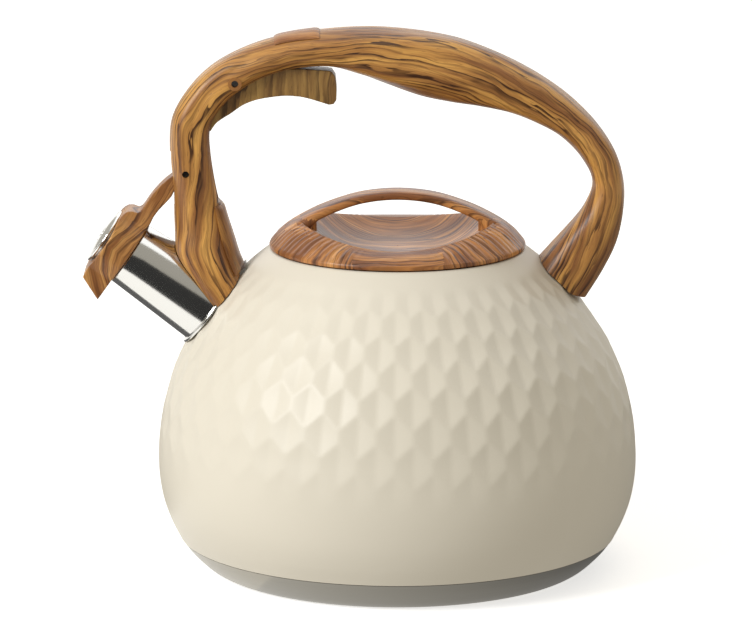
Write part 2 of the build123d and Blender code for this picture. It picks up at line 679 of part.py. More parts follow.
LID_BASE = SEAT_Z + SHEET + 2 * GAP
with BuildPart() as lid_grip:
    with BuildSketch(Plane.XZ):
        with BuildLine():
            Polyline(
                (0, LID_BASE), (SEAT_R - 1.4, LID_BASE), (SEAT_R - 1.4, LID_RIM_Z - 1.0), (LID_R, LID_RIM_Z - 1.0),
                (LID_R, LID_RIM_Z + 1.0), (40.4, 145.2), (39.4, 144.8), (33.0, 140.4), (24.0, DISH_FLOOR), (0, DISH_FLOOR), close=True,
            )  # fmt: skip
        make_face()
    revolve(axis=Axis.Z)
    with BuildSketch(Plane.XZ):
        with BuildLine():
            crown = Spline(
                (-53.6, 142.4), (-51.4, 145.4), (-46.0, 149.3), (-38.9, 153.6), (-29.7, 157.9), (-16.0, 162.2),
                (0, LID_TOP_Z), (16.0, 162.2), (29.7, 157.9), (38.9, 153.6), (46.0, 149.3), (51.4, 145.4), (53.6, 142.4),
            )  # fmt: skip
            Polyline(crown @ 1, (46.0, 140.0), (-46.0, 140.0), crown @ 0)
        make_face()
        with BuildLine():
            under = Spline((-33.0, 145.0), (-27.5, 153.2), (0, LID_TOP_Z - ARCH_T), (27.5, 153.2), (33.0, 145.0))
            Polyline(under @ 1, (31.0, DISH_FLOOR), (-31.0, DISH_FLOOR), under @ 0)
        make_face(mode=Mode.SUBTRACT)
    extrude(amount=ARCH_HALF, both=True)
    with Locations((-LID_SCREW_X, 0, LID_BASE), (LID_SCREW_X, 0, LID_BASE)):
        Cylinder(SCREW_R + GAP, 12, align=(Align.CENTER, Align.CENTER, Align.MIN), mode=Mode.SUBTRACT)
lid_grip.part.label = "lid_grip"
export_step(lid_grip.part, "parts/lid_grip.step")

with BuildPart() as lid_screws:
    for side in (-1, 1):
        add(screw(Vector(side * LID_SCREW_X, 0, SEAT_Z), Vector(0, 0, 1), 11.0))
lid_screws.part.label = "lid_screws"
export_step(lid_screws.part, "parts/lid_screws.step")
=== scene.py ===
import math

import bmesh
import bpy
import numpy as np
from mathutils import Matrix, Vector
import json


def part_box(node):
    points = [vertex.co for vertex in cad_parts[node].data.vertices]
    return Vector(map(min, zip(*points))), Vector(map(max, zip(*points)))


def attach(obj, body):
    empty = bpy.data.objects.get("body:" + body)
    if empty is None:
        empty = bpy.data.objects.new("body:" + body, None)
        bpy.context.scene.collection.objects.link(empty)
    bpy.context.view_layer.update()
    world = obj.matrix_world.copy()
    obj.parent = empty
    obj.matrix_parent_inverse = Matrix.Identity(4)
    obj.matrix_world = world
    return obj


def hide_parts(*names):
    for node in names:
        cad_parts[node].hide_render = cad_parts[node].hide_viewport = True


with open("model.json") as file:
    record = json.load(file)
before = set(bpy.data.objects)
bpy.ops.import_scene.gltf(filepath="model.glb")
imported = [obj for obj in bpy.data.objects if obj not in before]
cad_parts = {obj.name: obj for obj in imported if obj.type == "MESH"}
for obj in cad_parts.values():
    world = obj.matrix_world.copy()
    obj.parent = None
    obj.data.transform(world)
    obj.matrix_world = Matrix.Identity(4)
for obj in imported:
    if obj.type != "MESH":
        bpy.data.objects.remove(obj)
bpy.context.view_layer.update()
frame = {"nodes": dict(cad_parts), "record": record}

# ---- Camera ------------------------------------------------------------------------------------
# A long lens, a little above the lid, looking straight at the kettle's side with the spout on
# the left, so the whole kettle stands in the middle of the frame.
scene = bpy.context.scene
camera_data = bpy.data.cameras.new("camera")
camera_data.sensor_width = 36.0
camera_data.lens = 245.0
camera = bpy.data.objects.new("camera", camera_data)
scene.collection.objects.link(camera)
scene.camera = camera
aim = Vector((-0.0092, 0.0, 0.109))
tilt = math.radians(12.2)
camera.location = aim + Vector((0.0, -math.cos(tilt), math.sin(tilt))) * 2.2
camera.rotation_euler = (math.radians(90) - tilt, 0.0, 0.0)
scene.view_settings.view_transform = "Standard"
scene.view_settings.look = "None"

# ---- Painted shell -----------------------------------------------------------------------------
# kettle_body: deep-drawn steel, pressed with staggered rows of shallow wedge-shaped dimples round
# the shoulder and baked with a satin cream paint. Its top edge rolls over and steps down into the
# ledge the lid sits on.
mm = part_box("kettle_body")[1][0] / 103.0  # metres in a design millimetre, from the belly's radius


def smooth_run(points, count):
    """Points of a smooth curve through the given points, evenly spread along it."""
    knots = np.array(points, float)
    ends = np.vstack([2 * knots[0] - knots[1], knots, 2 * knots[-1] - knots[-2]])
    steps = np.sqrt(np.linalg.norm(np.diff(ends, axis=0), axis=1))
    times = np.concatenate([[0], np.cumsum(steps)])
    dense = []
    for i in range(1, len(ends) - 2):
        t0, t1, t2, t3 = times[i - 1 : i + 3]
        p0, p1, p2, p3 = ends[i - 1 : i + 3]
        for t in np.linspace(t1, t2, 24, endpoint=False):
            a1 = (t1 - t) / (t1 - t0) * p0 + (t - t0) / (t1 - t0) * p1
            a2 = (t2 - t) / (t2 - t1) * p1 + (t - t1) / (t2 - t1) * p2
            a3 = (t3 - t) / (t3 - t2) * p2 + (t - t2) / (t3 - t2) * p3
            b1 = (t2 - t) / (t2 - t0) * a1 + (t - t0) / (t2 - t0) * a2
            b2 = (t3 - t) / (t3 - t1) * a2 + (t - t1) / (t3 - t1) * a3
            dense.append((t2 - t) / (t2 - t1) * b1 + (t - t1) / (t2 - t1) * b2)
    dense.append(knots[-1])
    dense = np.array(dense)
    run = np.concatenate([[0], np.cumsum(np.linalg.norm(np.diff(dense[:, :2], axis=0), axis=1))])
    places = np.linspace(0, run[-1], count)
    return np.stack([np.interp(places, run, dense[:, k]) for k in range(dense.shape[1])], axis=1)


def make_object(name, verts, faces, smooth=True):
    """Mesh object from points in design millimetres."""
    mesh = bpy.data.meshes.new(name)
    mesh.from_pydata((np.asarray(verts) * mm).tolist(), [], [list(f) for f in faces])
    outward = bmesh.new()
    outward.from_mesh(mesh)
    bmesh.ops.recalc_face_normals(outward, faces=outward.faces)
    outward.to_mesh(mesh)
    outward.free()
    obj = bpy.data.objects.new(name, mesh)
    scene.collection.objects.link(obj)
    mesh.shade_smooth() if smooth else mesh.shade_flat()
    return obj


def ring_faces(rows, columns, wrap_rows=False):
    """Quads of a grid whose columns close on themselves."""
    faces = []
    for i in range(rows if wrap_rows else rows - 1):
        below, above = i * columns, ((i + 1) % rows) * columns
        for j in range(columns):
            k = (j + 1) % columns
            faces.append((below + j, below + k, above + k, above + j))
    return faces


side = smooth_run(
    [
        (94.2, 13.6), (97.9, 21.0), (100.9, 29.5), (102.6, 39.0), (103.0, 48.0),
        (102.6, 57.5), (101.2, 67.0), (98.8, 78.0), (95.2, 88.5), (90.2, 98.8),
        (84.0, 108.5), (77.3, 117.6), (70.2, 125.8), (62.9, 132.1), (55.2, 138.2),
    ],
    170,
)
side_way = np.gradient(side, axis=0)
side_way /= np.linalg.norm(side_way, axis=1)[:, None]
side_out = np.stack([side_way[:, 1], -side_way[:, 0]], axis=1)
side_run = np.concatenate([[0], np.cumsum(np.linalg.norm(np.diff(side, axis=0), axis=1))])
SHEET = 0.8
SEGMENTS = 480
COLUMNS = 40  # dimples in a row
FRONT_TURN = -90 + 3.6  # degrees to the column of dimples nearest the front
shell_angles = math.radians(FRONT_TURN) + np.arange(SEGMENTS) * 2 * math.pi / SEGMENTS
row_heights = [128.6, 119.8, 109.6, 100.3, 89.2, 77.8, 65.4, 53.6]
row_depths = [0.62, 0.90, 1.0, 1.0, 1.0, 0.85, 0.62, 0.28]
row_runs = [np.interp(z, side[:, 1], side_run) for z in row_heights]
wedge, bowl, soft = 0.105, 0.0095, 22.0  # slope sideways, hollow up and down, sharpness of ridges
ridge_level = 0.86
deepening = 1.25
lift = np.zeros((len(side), SEGMENTS))
for index, (run, depth) in enumerate(zip(row_runs, row_depths)):
    phase = math.radians(FRONT_TURN - (180 / COLUMNS if index % 2 else 0.0))
    turn = (shell_angles - phase) * COLUMNS / (2 * math.pi)
    offset = np.abs(turn - np.round(turn))
    pitch = side[:, 0] * 2 * math.pi / COLUMNS
    near = offset[None, :] * pitch[:, None]
    far = pitch[:, None] - near
    along = (side_run - run)[:, None]
    for across in (near, far):
        lift += np.exp(-soft * (wedge * np.sqrt(across**2 + 0.12) + bowl * along**2))
field = -np.log(np.maximum(lift, 1e-12)) / soft
strength = np.interp(side_run, row_runs[::-1], row_depths[::-1])
upper = np.clip((row_runs[0] + 7.5 - side_run) / 7.0, 0, 1)
lower = np.clip((side_run - row_runs[-1] + 9.0) / 12.0, 0, 1)
strength = strength * upper * upper * (3 - 2 * upper) * lower * lower * (3 - 2 * lower)
sink = deepening * strength[:, None] * np.clip(ridge_level - field, 0.0, 0.9)


def shell_ring(radius, height):
    """One ring of the shell's grid; radius and height may vary round it."""
    level = height + 0 * shell_angles
    return np.stack([radius * np.cos(shell_angles), radius * np.sin(shell_angles), level], axis=1)


def side_ring(place, depth):
    """Ring at a place along the side line, a depth below it."""
    radius, height = side[place]
    return shell_ring(radius - depth * side_out[place, 0], height - depth * side_out[place, 1])


shell_rings = [side_ring(place, sink[place]) for place in range(len(side))]
ROLL = 1.8  # radius that the top edge rolls over in
roll_centre = side[-1] - side_out[-1] * ROLL
roll_start = math.atan2(side_out[-1, 1], side_out[-1, 0])
rim_points = []
for step in range(1, 9):
    angle = roll_start + step / 8 * (math.pi - roll_start)
    rim_points.append((roll_centre[0] + ROLL * math.cos(angle), roll_centre[1] + ROLL * math.sin(angle)))
top_wall = rim_points[-1][0]
rim_points += [(top_wall, 136.2), (top_wall - 0.3, 135.5), (top_wall - 1.0, 135.2), (47.6, 135.2)]
rim_points += [(46.9, 134.9), (46.6, 134.2), (46.6, 129.5), (47.4, 129.5), (47.4, 133.9), (47.8, 134.4)]
rim_points += [(top_wall + 0.2, 134.4), (top_wall + 0.8, 135.0)]
shell_rings += [shell_ring(radius, height) for radius, height in rim_points]
shell_rings += [side_ring(place, sink[place] + SHEET) for place in range(len(side) - 1, -1, -1)]
shell = make_object("shell", np.concatenate(shell_rings), ring_faces(len(shell_rings), SEGMENTS, True))

SPOUT_RISE = math.radians(35)
spout_way = Vector((-math.cos(SPOUT_RISE), 0, math.sin(SPOUT_RISE)))
spout_mouth = Vector((-114.8, 0, 136.0))
hole_radius = 15.6 * mm


def off_axis(point):
    """How a point lies off the spout's axis, in metres."""
    spoke = point - spout_mouth * mm
    return spoke - spoke.dot(spout_way) * spout_way


grid = bmesh.new()
grid.from_mesh(shell.data)
near_spout = [vert for vert in grid.verts if vert.co.x < 0 and vert.co.z > 80 * mm]
gone = [vert for vert in near_spout if off_axis(vert.co).length < hole_radius]
bmesh.ops.delete(grid, geom=gone, context="VERTS")
rim_edges = [edge for edge in grid.edges if edge.is_boundary]
for vert in {vert for edge in rim_edges for vert in edge.verts}:
    spoke = off_axis(vert.co)
    vert.co -= spoke * (1 - hole_radius / spoke.length)
bmesh.ops.bridge_loops(grid, edges=rim_edges)
bmesh.ops.recalc_face_normals(grid, faces=grid.faces)
grid.to_mesh(shell.data)
grid.free()
shell.data.shade_smooth()
shell.data.set_sharp_from_angle(angle=math.radians(50))

cream = bpy.data.materials.new("cream_paint")
cream.use_nodes = True
nodes, links = cream.node_tree.nodes, cream.node_tree.links
paint = nodes["Principled BSDF"]
paint.inputs["Base Color"].default_value = (0.735, 0.685, 0.58, 1)
paint.inputs["Roughness"].default_value = 0.42
paint.inputs["Specular IOR Level"].default_value = 0.4
speckle = nodes.new("ShaderNodeTexNoise")
speckle.inputs["Scale"].default_value = 900.0
speckle.inputs["Detail"].default_value = 2.0
where = nodes.new("ShaderNodeTexCoord")
links.new(where.outputs["Object"], speckle.inputs["Vector"])
grit = nodes.new("ShaderNodeBump")
grit.inputs["Strength"].default_value = 0.06
grit.inputs["Distance"].default_value = 0.0002
links.new(speckle.outputs["Fac"], grit.inputs["Height"])
links.new(grit.outputs["Normal"], paint.inputs["Normal"])
shell.data.materials.append(cream)
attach(shell, "vessel")
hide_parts("kettle_body")

# ---- Base cap ----------------------------------------------------------------------------------
# base_cap: spun steel cap under the vessel, left bare and brushed round its edge, with a shallow
# ring pressed into its underside. It is brazed to the shell at the seam.


def lathe(name, profile, count, wrap=True):
    """Body of revolution about Z from (radius, height) points; a closed section if wrap."""
    angles = np.arange(count) * 2 * math.pi / count
    verts = [(r * math.cos(a), r * math.sin(a), z) for r, z in profile for a in angles]
    return make_object(name, verts, ring_faces(len(profile), count, wrap))


def metal_material(name, tone, roughness):
    """Finish of a bare metal."""
    made = bpy.data.materials.new(name)
    made.use_nodes = True
    metal = made.node_tree.nodes["Principled BSDF"]
    metal.inputs["Base Color"].default_value = (*tone, 1)
    metal.inputs["Metallic"].default_value = 1.0
    metal.inputs["Roughness"].default_value = roughness
    return made


CAP_SHEET = 0.8
base_side = smooth_run([(76.0, 0.0), (80.0, 0.45), (83.6, 2.3), (87.4, 5.6), (91.0, 9.4), (93.9, 13.3)], 26)
base_profile = [(0.02, 0.0), (30.0, 0.0), (31.0, 0.5), (32.0, 0.5), (33.0, 0.0), (60.0, 0.0), (68.0, 0.0)]
base_profile += [tuple(p) for p in base_side]
base_profile += [(93.6, 13.5), (93.2, 13.3)]
base_profile += [(r - 0.6, z + 0.5) for r, z in base_side[::-1][1:]]
base_profile += [(68.0, CAP_SHEET), (0.02, CAP_SHEET)]
base = lathe("base", base_profile, 240)
base.data.set_sharp_from_angle(angle=math.radians(50))
steel_base = metal_material("steel_base", (0.31, 0.29, 0.245), 0.34)
nodes, links = steel_base.node_tree.nodes, steel_base.node_tree.links
where = nodes.new("ShaderNodeTexCoord")
squeeze = nodes.new("ShaderNodeMapping")
squeeze.inputs["Scale"].default_value = (12.0, 12.0, 2600.0)
links.new(where.outputs["Object"], squeeze.inputs["Vector"])
brush = nodes.new("ShaderNodeTexNoise")
brush.inputs["Scale"].default_value = 1.0
brush.inputs["Detail"].default_value = 3.0
links.new(squeeze.outputs["Vector"], brush.inputs["Vector"])
rough = nodes.new("ShaderNodeMapRange")
rough.inputs["To Min"].default_value = 0.26
rough.inputs["To Max"].default_value = 0.46
links.new(brush.outputs["Fac"], rough.inputs["Value"])
links.new(rough.outputs["Result"], nodes["Principled BSDF"].inputs["Roughness"])
base.data.materials.append(steel_base)
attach(base, "vessel")
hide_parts("base_cap")

# ---- Spout -------------------------------------------------------------------------------------
# spout: tapered tube of polished steel with a rolled mouth, let through the shell and brazed on
# inside a flange.
spout_up = Vector((math.sin(SPOUT_RISE), 0, math.cos(SPOUT_RISE)))
spout_side = Vector((0, 1, 0))


def spout_point(out, radius, angle):
    """Point at a distance out along the spout's axis, a radius from it and an angle round it."""
    spoke = spout_up * math.cos(angle) + spout_side * math.sin(angle)
    return spout_mouth + spout_way * out + spoke * radius


def shell_radius(height):
    """Outer radius of the undimpled shell at a height."""
    return float(np.interp(height, side[:, 1], side[:, 0]))


def reach_shell(radius, angle, gap):
    """How far out along the spout's axis a line beside it leaves the shell's surface."""
    low, high = -70.0, 0.0
    for _ in range(40):
        middle = (low + high) / 2
        point = spout_point(middle, radius, angle)
        inside = math.hypot(point.x, point.y) < shell_radius(point.z) + gap
        low, high = (middle, high) if inside else (low, middle)
    return low


def lathe_spout(name, sections, count):
    """Closed surface round the spout's axis from functions of the angle giving (out, radius)."""
    verts = []
    for section in sections:
        for k in range(count):
            angle = k * 2 * math.pi / count
            out, radius = section(angle)
            verts.append(spout_point(out, radius, angle))
    return make_object(name, [tuple(v) for v in verts], ring_faces(len(sections), count, True))


TAPER = math.tan(math.radians(3.2))
ROOT_RADIUS, OUTER_RADIUS, INNER_RADIUS = 16.2, 14.2, 13.4
LIP = 0.5  # length of the rolled mouth


def tube_section(share, mouth_radius):
    """Section of the tube a share of the way from its root to its lip."""

    def section(angle):
        out = reach_shell(ROOT_RADIUS, angle, 0.05) * (1 - share) - LIP * share
        return out, mouth_radius - out * TAPER

    return section


tube = [tube_section(share, OUTER_RADIUS) for share in np.linspace(0.0, 1.0, 9)]
tube += [lambda a: (-0.12, 14.15), lambda a: (0.0, 13.9), lambda a: (0.0, 13.7), lambda a: (-0.15, 13.45)]
tube += [tube_section(share, INNER_RADIUS) for share in np.linspace(1.0, 0.0, 9)]
spout = lathe_spout("spout", tube, 128)
spout.data.set_sharp_from_angle(angle=math.radians(60))
steel_polished = metal_material("steel_polished", (0.64, 0.635, 0.61), 0.15)
spout.data.materials.append(steel_polished)
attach(spout, "vessel")
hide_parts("spout")

# ---- Spout collar ------------------------------------------------------------------------------
# spout_collar: pressed steel flange that follows the shell round the spout's root and turns up
# against the tube in a soft radius. It is brazed to both.
flange_line = [(18.3, 0.15), (18.4, 0.7), (18.2, 1.15), (17.8, 1.38), (17.2, 1.3), (16.9, 1.35)]
flange_line += [(16.6, 1.4), (16.6, 0.15), (17.8, 0.12)]  # radius, and height above the shell
flange = [lambda a, r=r, rise=rise: (reach_shell(r, a, rise), r) for r, rise in flange_line]
collar = lathe_spout("collar", flange, 128)
collar.data.set_sharp_from_angle(angle=math.radians(60))
collar.data.materials.append(steel_polished)
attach(collar, "vessel")
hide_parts("spout_collar")

# ---- Wood-pattern film -------------------------------------------------------------------------
# The handle, trigger, cover and lid are moulded plastic wrapped in the same printed film: tan and
# honey ground, long brown growth lines that waver and fork, short dark pores, under a satin coat.
wood = bpy.data.node_groups.new("wood_print", "ShaderNodeTree")
for label, kind in (
    ("Grain", "NodeSocketVector"), ("Place", "NodeSocketVector"), ("Light", "NodeSocketColor"),
    ("Middle", "NodeSocketColor"), ("Dark", "NodeSocketColor"), ("Line", "NodeSocketColor"),
    ("Lines per mm", "NodeSocketFloat"), ("Line strength", "NodeSocketFloat"),
):  # fmt: skip
    wood.interface.new_socket(name=label, in_out="INPUT", socket_type=kind)
wood.interface.new_socket(name="Color", in_out="OUTPUT", socket_type="NodeSocketColor")
wood.interface.new_socket(name="Depth", in_out="OUTPUT", socket_type="NodeSocketFloat")
wood_in = wood.nodes.new("NodeGroupInput")
wood_out = wood.nodes.new("NodeGroupOutput")


def wood_node(kind, **settings):
    """New node of the wood group, with its properties set."""
    node = wood.nodes.new(kind)
    for key, value in settings.items():
        setattr(node, key, value)
    return node


def wood_math(operation, first, second=None, clamp=False):
    """Maths node of the wood group; inputs are sockets or numbers."""
    node = wood_node("ShaderNodeMath", operation=operation, use_clamp=clamp)
    for slot, value in enumerate((first, second)):
        if isinstance(value, (int, float)):
            node.inputs[slot].default_value = value
        elif value is not None:
            wood.links.new(value, node.inputs[slot])
    return node.outputs[0]


def wood_noise(vector, scale, detail, rough):
    """Noise of the grain coordinates, stretched by a scale along and across the grain."""
    stretch = wood_node("ShaderNodeMapping")
    stretch.inputs["Scale"].default_value = scale
    wood.links.new(vector, stretch.inputs["Vector"])
    noise = wood_node("ShaderNodeTexNoise")
    noise.inputs["Scale"].default_value = 1.0
    noise.inputs["Detail"].default_value = detail
    noise.inputs["Roughness"].default_value = rough
    wood.links.new(stretch.outputs["Vector"], noise.inputs["Vector"])
    return noise.outputs["Fac"]


def wood_step(value, low, high):
    """Smooth step of a value between two limits."""
    node = wood_node("ShaderNodeMapRange", interpolation_type="SMOOTHSTEP")
    node.inputs["From Min"].default_value = low
    node.inputs["From Max"].default_value = high
    wood.links.new(value, node.inputs["Value"])
    return node.outputs["Result"]


def wood_mix(factor, first, second, blend="MIX"):
    """Colour mix in the wood group."""
    node = wood_node("ShaderNodeMix", data_type="RGBA", blend_type=blend)
    wood.links.new(factor, node.inputs["Factor"])
    wood.links.new(first, node.inputs["A"])
    wood.links.new(second, node.inputs["B"])
    return node.outputs["Result"]


# The grain coordinates bend: across the grain they drift by a few millimetres.
apart = wood_node("ShaderNodeSeparateXYZ")
wood.links.new(wood_in.outputs["Grain"], apart.inputs["Vector"])
wander = wood_noise(wood_in.outputs["Place"], (26.0, 26.0, 26.0), 2.0, 0.5)
sway = wood_noise(wood_in.outputs["Grain"], (0.022, 0.05, 0.05), 2.0, 0.5)
wander = wood_math("MULTIPLY", wood_math("SUBTRACT", wander, 0.5), 8.0)
sway = wood_math("MULTIPLY", wood_math("SUBTRACT", sway, 0.5), 8.0)
shift = wood_math("ADD", wander, sway)
moved = wood_node("ShaderNodeCombineXYZ")
wood.links.new(apart.outputs["X"], moved.inputs["X"])
wood.links.new(wood_math("ADD", apart.outputs["Y"], shift), moved.inputs["Y"])
wood.links.new(apart.outputs["Z"], moved.inputs["Z"])
grain = moved.outputs["Vector"]
moved_y = wood_node("ShaderNodeSeparateXYZ")
wood.links.new(grain, moved_y.inputs["Vector"])
across = wood_math("ADD", moved_y.outputs["Y"], moved_y.outputs["Z"])

# Ground: broad zones of the three tones.
broad = wood_noise(grain, (0.014, 0.16, 0.16), 4.0, 0.6)
ground = wood_mix(wood_step(broad, 0.38, 0.54), wood_in.outputs["Dark"], wood_in.outputs["Middle"])
ground = wood_mix(wood_step(broad, 0.50, 0.66), ground, wood_in.outputs["Light"])

# Growth lines: each darkens slowly and ends sharply, and they come and go in patches.
drift = wood_math("MULTIPLY", wood_noise(grain, (0.012, 0.12, 0.12), 4.0, 0.6), 5.0)
phase = wood_math("ADD", wood_math("MULTIPLY", across, wood_in.outputs["Lines per mm"]), drift)
saw = wood_math("FRACT", phase)
line_end = wood_math("SUBTRACT", 1.0, wood_step(saw, 0.93, 1.0))
late = wood_math("MULTIPLY", wood_step(saw, 0.42, 0.93), line_end)
patch = wood_step(wood_noise(grain, (0.016, 0.14, 0.14), 2.0, 0.5), 0.40, 0.60)
late = wood_math("MULTIPLY", late, wood_math("ADD", wood_math("MULTIPLY", patch, 0.72), 0.28))
late = wood_math("MULTIPLY", late, wood_in.outputs["Line strength"], clamp=True)

# Streaks, pores and the fine light and dark of the fibres.
fine = wood_noise(grain, (0.02, 1.1, 1.1), 4.0, 0.65)
streak = wood_step(fine, 0.56, 0.68)
streak = wood_math("MULTIPLY", streak, wood_in.outputs["Line strength"], clamp=True)
pores = wood_step(wood_noise(grain, (0.22, 2.6, 2.6), 1.0, 0.5), 0.64, 0.72)
dark = wood_math("MAXIMUM", late, wood_math("MULTIPLY", streak, 0.72))
dark = wood_math("MAXIMUM", dark, wood_math("MULTIPLY", pores, 0.5))
fibre = wood_noise(grain, (0.05, 3.4, 3.4), 2.0, 0.6)
shade = wood_node("ShaderNodeMapRange")
shade.inputs["From Min"].default_value = 0.3
shade.inputs["From Max"].default_value = 0.7
shade.inputs["To Min"].default_value = 0.86
shade.inputs["To Max"].default_value = 1.12
wood.links.new(fibre, shade.inputs["Value"])
tint = wood_node("ShaderNodeCombineColor")
for channel in ("Red", "Green", "Blue"):
    wood.links.new(shade.outputs["Result"], tint.inputs[channel])
coloured = wood_mix(dark, ground, wood_in.outputs["Line"])
full = wood_node("ShaderNodeMix", data_type="RGBA", blend_type="MULTIPLY")
full.inputs["Factor"].default_value = 1.0
wood.links.new(coloured, full.inputs["A"])
wood.links.new(tint.outputs["Color"], full.inputs["B"])
wood.links.new(full.outputs["Result"], wood_out.inputs["Color"])
wood.links.new(wood_math("SUBTRACT", 1.0, dark), wood_out.inputs["Depth"])


def wood_material(name, light, middle, dark_tone, line, lines, strength, roughness):
    """Film material: the wood group feeds colour and a little relief to a satin plastic."""
    made = bpy.data.materials.new(name)
    made.use_nodes = True
    tree = made.node_tree
    plastic = tree.nodes["Principled BSDF"]
    plastic.inputs["Roughness"].default_value = roughness
    plastic.inputs["Coat Weight"].default_value = 0.1
    plastic.inputs["Specular IOR Level"].default_value = 0.3
    plastic.inputs["Coat Roughness"].default_value = 0.22
    film = tree.nodes.new("ShaderNodeGroup")
    film.node_tree = wood
    film.inputs["Light"].default_value = (*light, 1)
    film.inputs["Middle"].default_value = (*middle, 1)
    film.inputs["Dark"].default_value = (*dark_tone, 1)
    film.inputs["Line"].default_value = (*line, 1)
    film.inputs["Lines per mm"].default_value = lines
    film.inputs["Line strength"].default_value = strength
    spot = tree.nodes.new("ShaderNodeTexCoord")
    layer = tree.nodes.new("ShaderNodeUVMap")
    layer.uv_map = "grain"
    millimetres = tree.nodes.new("ShaderNodeMapping")
    millimetres.inputs["Scale"].default_value = (1000.0, 1000.0, 1000.0)
    tree.links.new(layer.outputs["UV"], millimetres.inputs["Vector"])
    tree.links.new(millimetres.outputs["Vector"], film.inputs["Grain"])
    tree.links.new(spot.outputs["Object"], film.inputs["Place"])
    tree.links.new(film.outputs["Color"], plastic.inputs["Base Color"])
    relief = tree.nodes.new("ShaderNodeBump")
    relief.inputs["Strength"].default_value = 0.25
    relief.inputs["Distance"].default_value = 0.0003
    tree.links.new(film.outputs["Depth"], relief.inputs["Height"])
    tree.links.new(relief.outputs["Normal"], plastic.inputs["Normal"])
    return made


# ---- Handle ------------------------------------------------------------------------------------
# handle_shell: one curved moulding shaped like a twisted branch, with soft flats winding along it.
# Its front stretch is a channel, open underneath, that holds the trigger and the cover's arm. Its
# feet are cut to the shell and held by a screw each.
stations = smooth_run(
    [
        # outer x, outer z, inner x, inner z, half width
        (-78.9, 110.5, -61.3, 118.4, 19.2), (-88.6, 125.6, -68.4, 134.2, 18.4),
        (-94.4, 136.0, -71.2, 143.4, 16.6), (-95.6, 150.0, -74.0, 152.6, 14.2),
        (-96.1, 165.0, -77.2, 165.0, 13.0), (-97.7, 180.0, -79.6, 180.4, 12.3),
        (-96.8, 196.0, -79.8, 191.6, 12.2), (-90.0, 208.4, -76.6, 198.6, 12.2),
        (-80.0, 218.8, -69.6, 206.2, 12.3), (-66.0, 227.0, -59.4, 213.0, 12.4),
        (-50.0, 232.4, -46.2, 217.8, 12.6), (-30.0, 235.2, -29.0, 219.0, 13.0),
        (-13.1, 236.0, -15.6, 214.8, 13.6), (1.1, 235.1, -3.4, 210.2, 14.0),
        (16.1, 233.0, 9.6, 205.7, 14.0), (31.2, 229.3, 22.6, 203.1, 13.8),
        (46.2, 223.2, 35.4, 201.3, 13.4), (61.3, 214.8, 47.9, 198.6, 13.0),
        (74.4, 205.1, 59.1, 194.0, 12.6), (86.0, 193.0, 70.3, 187.6, 12.3),
        (93.6, 181.0, 79.0, 178.4, 12.3), (97.1, 168.0, 83.6, 168.0, 12.6),
        (97.0, 155.8, 80.0, 157.0, 13.2), (94.2, 141.8, 72.8, 147.2, 13.8),
        (88.6, 129.4, 64.6, 138.0, 14.4), (81.4, 117.4, 56.0, 128.6, 15.0),
    ],
    330,
)  # fmt: skip
CROWN_DROP = 2.3
NARROWING = 0.012
for x_column, z_column in ((0, 1), (2, 3)):  # the arch is a little lower and narrower than stated above
    climb = np.clip(stations[:, z_column] - 120.0, 0, None) / 115.0
    stations[:, z_column] -= CROWN_DROP * climb**2
    stations[:, x_column] -= NARROWING * climb * (stations[:, x_column] + 9.2)
AROUND = 72
middle_line = (stations[:, :2] + stations[:, 2:4]) / 2
handle_run = np.concatenate([[0], np.cumsum(np.linalg.norm(np.diff(middle_line, axis=0), axis=1))])
ring_angles = np.arange(AROUND) * 2 * math.pi / AROUND
SQUARENESS = 2.5  # 2 is an ellipse
TWIST = 0.0105  # turn of the flats in a millimetre of length
handle_verts = []
handle_round = []
for place, (outer_x, outer_z, inner_x, inner_z, half) in zip(handle_run, stations):
    across_x, across_z = outer_x - inner_x, outer_z - inner_z
    depth = math.hypot(across_x, across_z)
    across_x, across_z = across_x / depth, across_z / depth
    cosine, sine = np.cos(ring_angles), np.sin(ring_angles)
    bulk = (np.abs(cosine) ** SQUARENESS + np.abs(sine) ** SQUARENESS) ** (-1 / SQUARENESS)
    wind = ring_angles - place * TWIST
    broad_flats = 0.055 * np.abs(np.sin(1.5 * wind + 0.5)) ** 1.3
    small_flats = 0.035 * np.abs(np.sin(2.5 * wind - place * 0.012 + 1.1)) ** 1.6
    bulk = bulk * (0.93 + broad_flats + small_flats)
    out, wide = bulk * cosine, bulk * sine
    out = 2 * (out - out.min()) / (out.max() - out.min()) - 1
    wide = wide / np.abs(wide).max()
    ring_x = (outer_x + inner_x) / 2 + across_x * out * depth / 2
    ring_z = (outer_z + inner_z) / 2 + across_z * out * depth / 2
    ring = np.stack([ring_x, wide * half, ring_z], axis=1)
    handle_verts.append(ring)
    steps = np.linalg.norm(np.diff(np.vstack([ring, ring[:1]]), axis=0), axis=1)
    handle_round.append(np.concatenate([[0], np.cumsum(steps)]))
rows = len(handle_verts)
handle_faces = ring_faces(rows, AROUND)
handle_faces.append(tuple(range(AROUND - 1, -1, -1)))
handle_faces.append(tuple(range((rows - 1) * AROUND, rows * AROUND)))
handle = make_object("handle", np.concatenate(handle_verts), handle_faces)


def grain_map(obj, along_across):
    """UV layer named grain, in metres, from a function of each corner's point and face."""
    layer = obj.data.uv_layers.new(name="grain")
    for face in obj.data.polygons:
        for corner, index in zip(face.loop_indices, face.vertices):
            layer.data[corner].uv = along_across(obj.data.vertices[index].co / mm, index, face)


def handle_grain(point, index, face):
    """Length along the handle, and distance round it from its outer line."""
    row, column = divmod(index, AROUND)
    total = handle_round[row][-1]
    around = handle_round[row][column]
    around = min(around, total - around) if point.y >= 0 else -min(around, total - around)
    return handle_run[row] * mm, (around + handle_run[row] * 0.03) * mm


grain_map(handle, handle_grain)


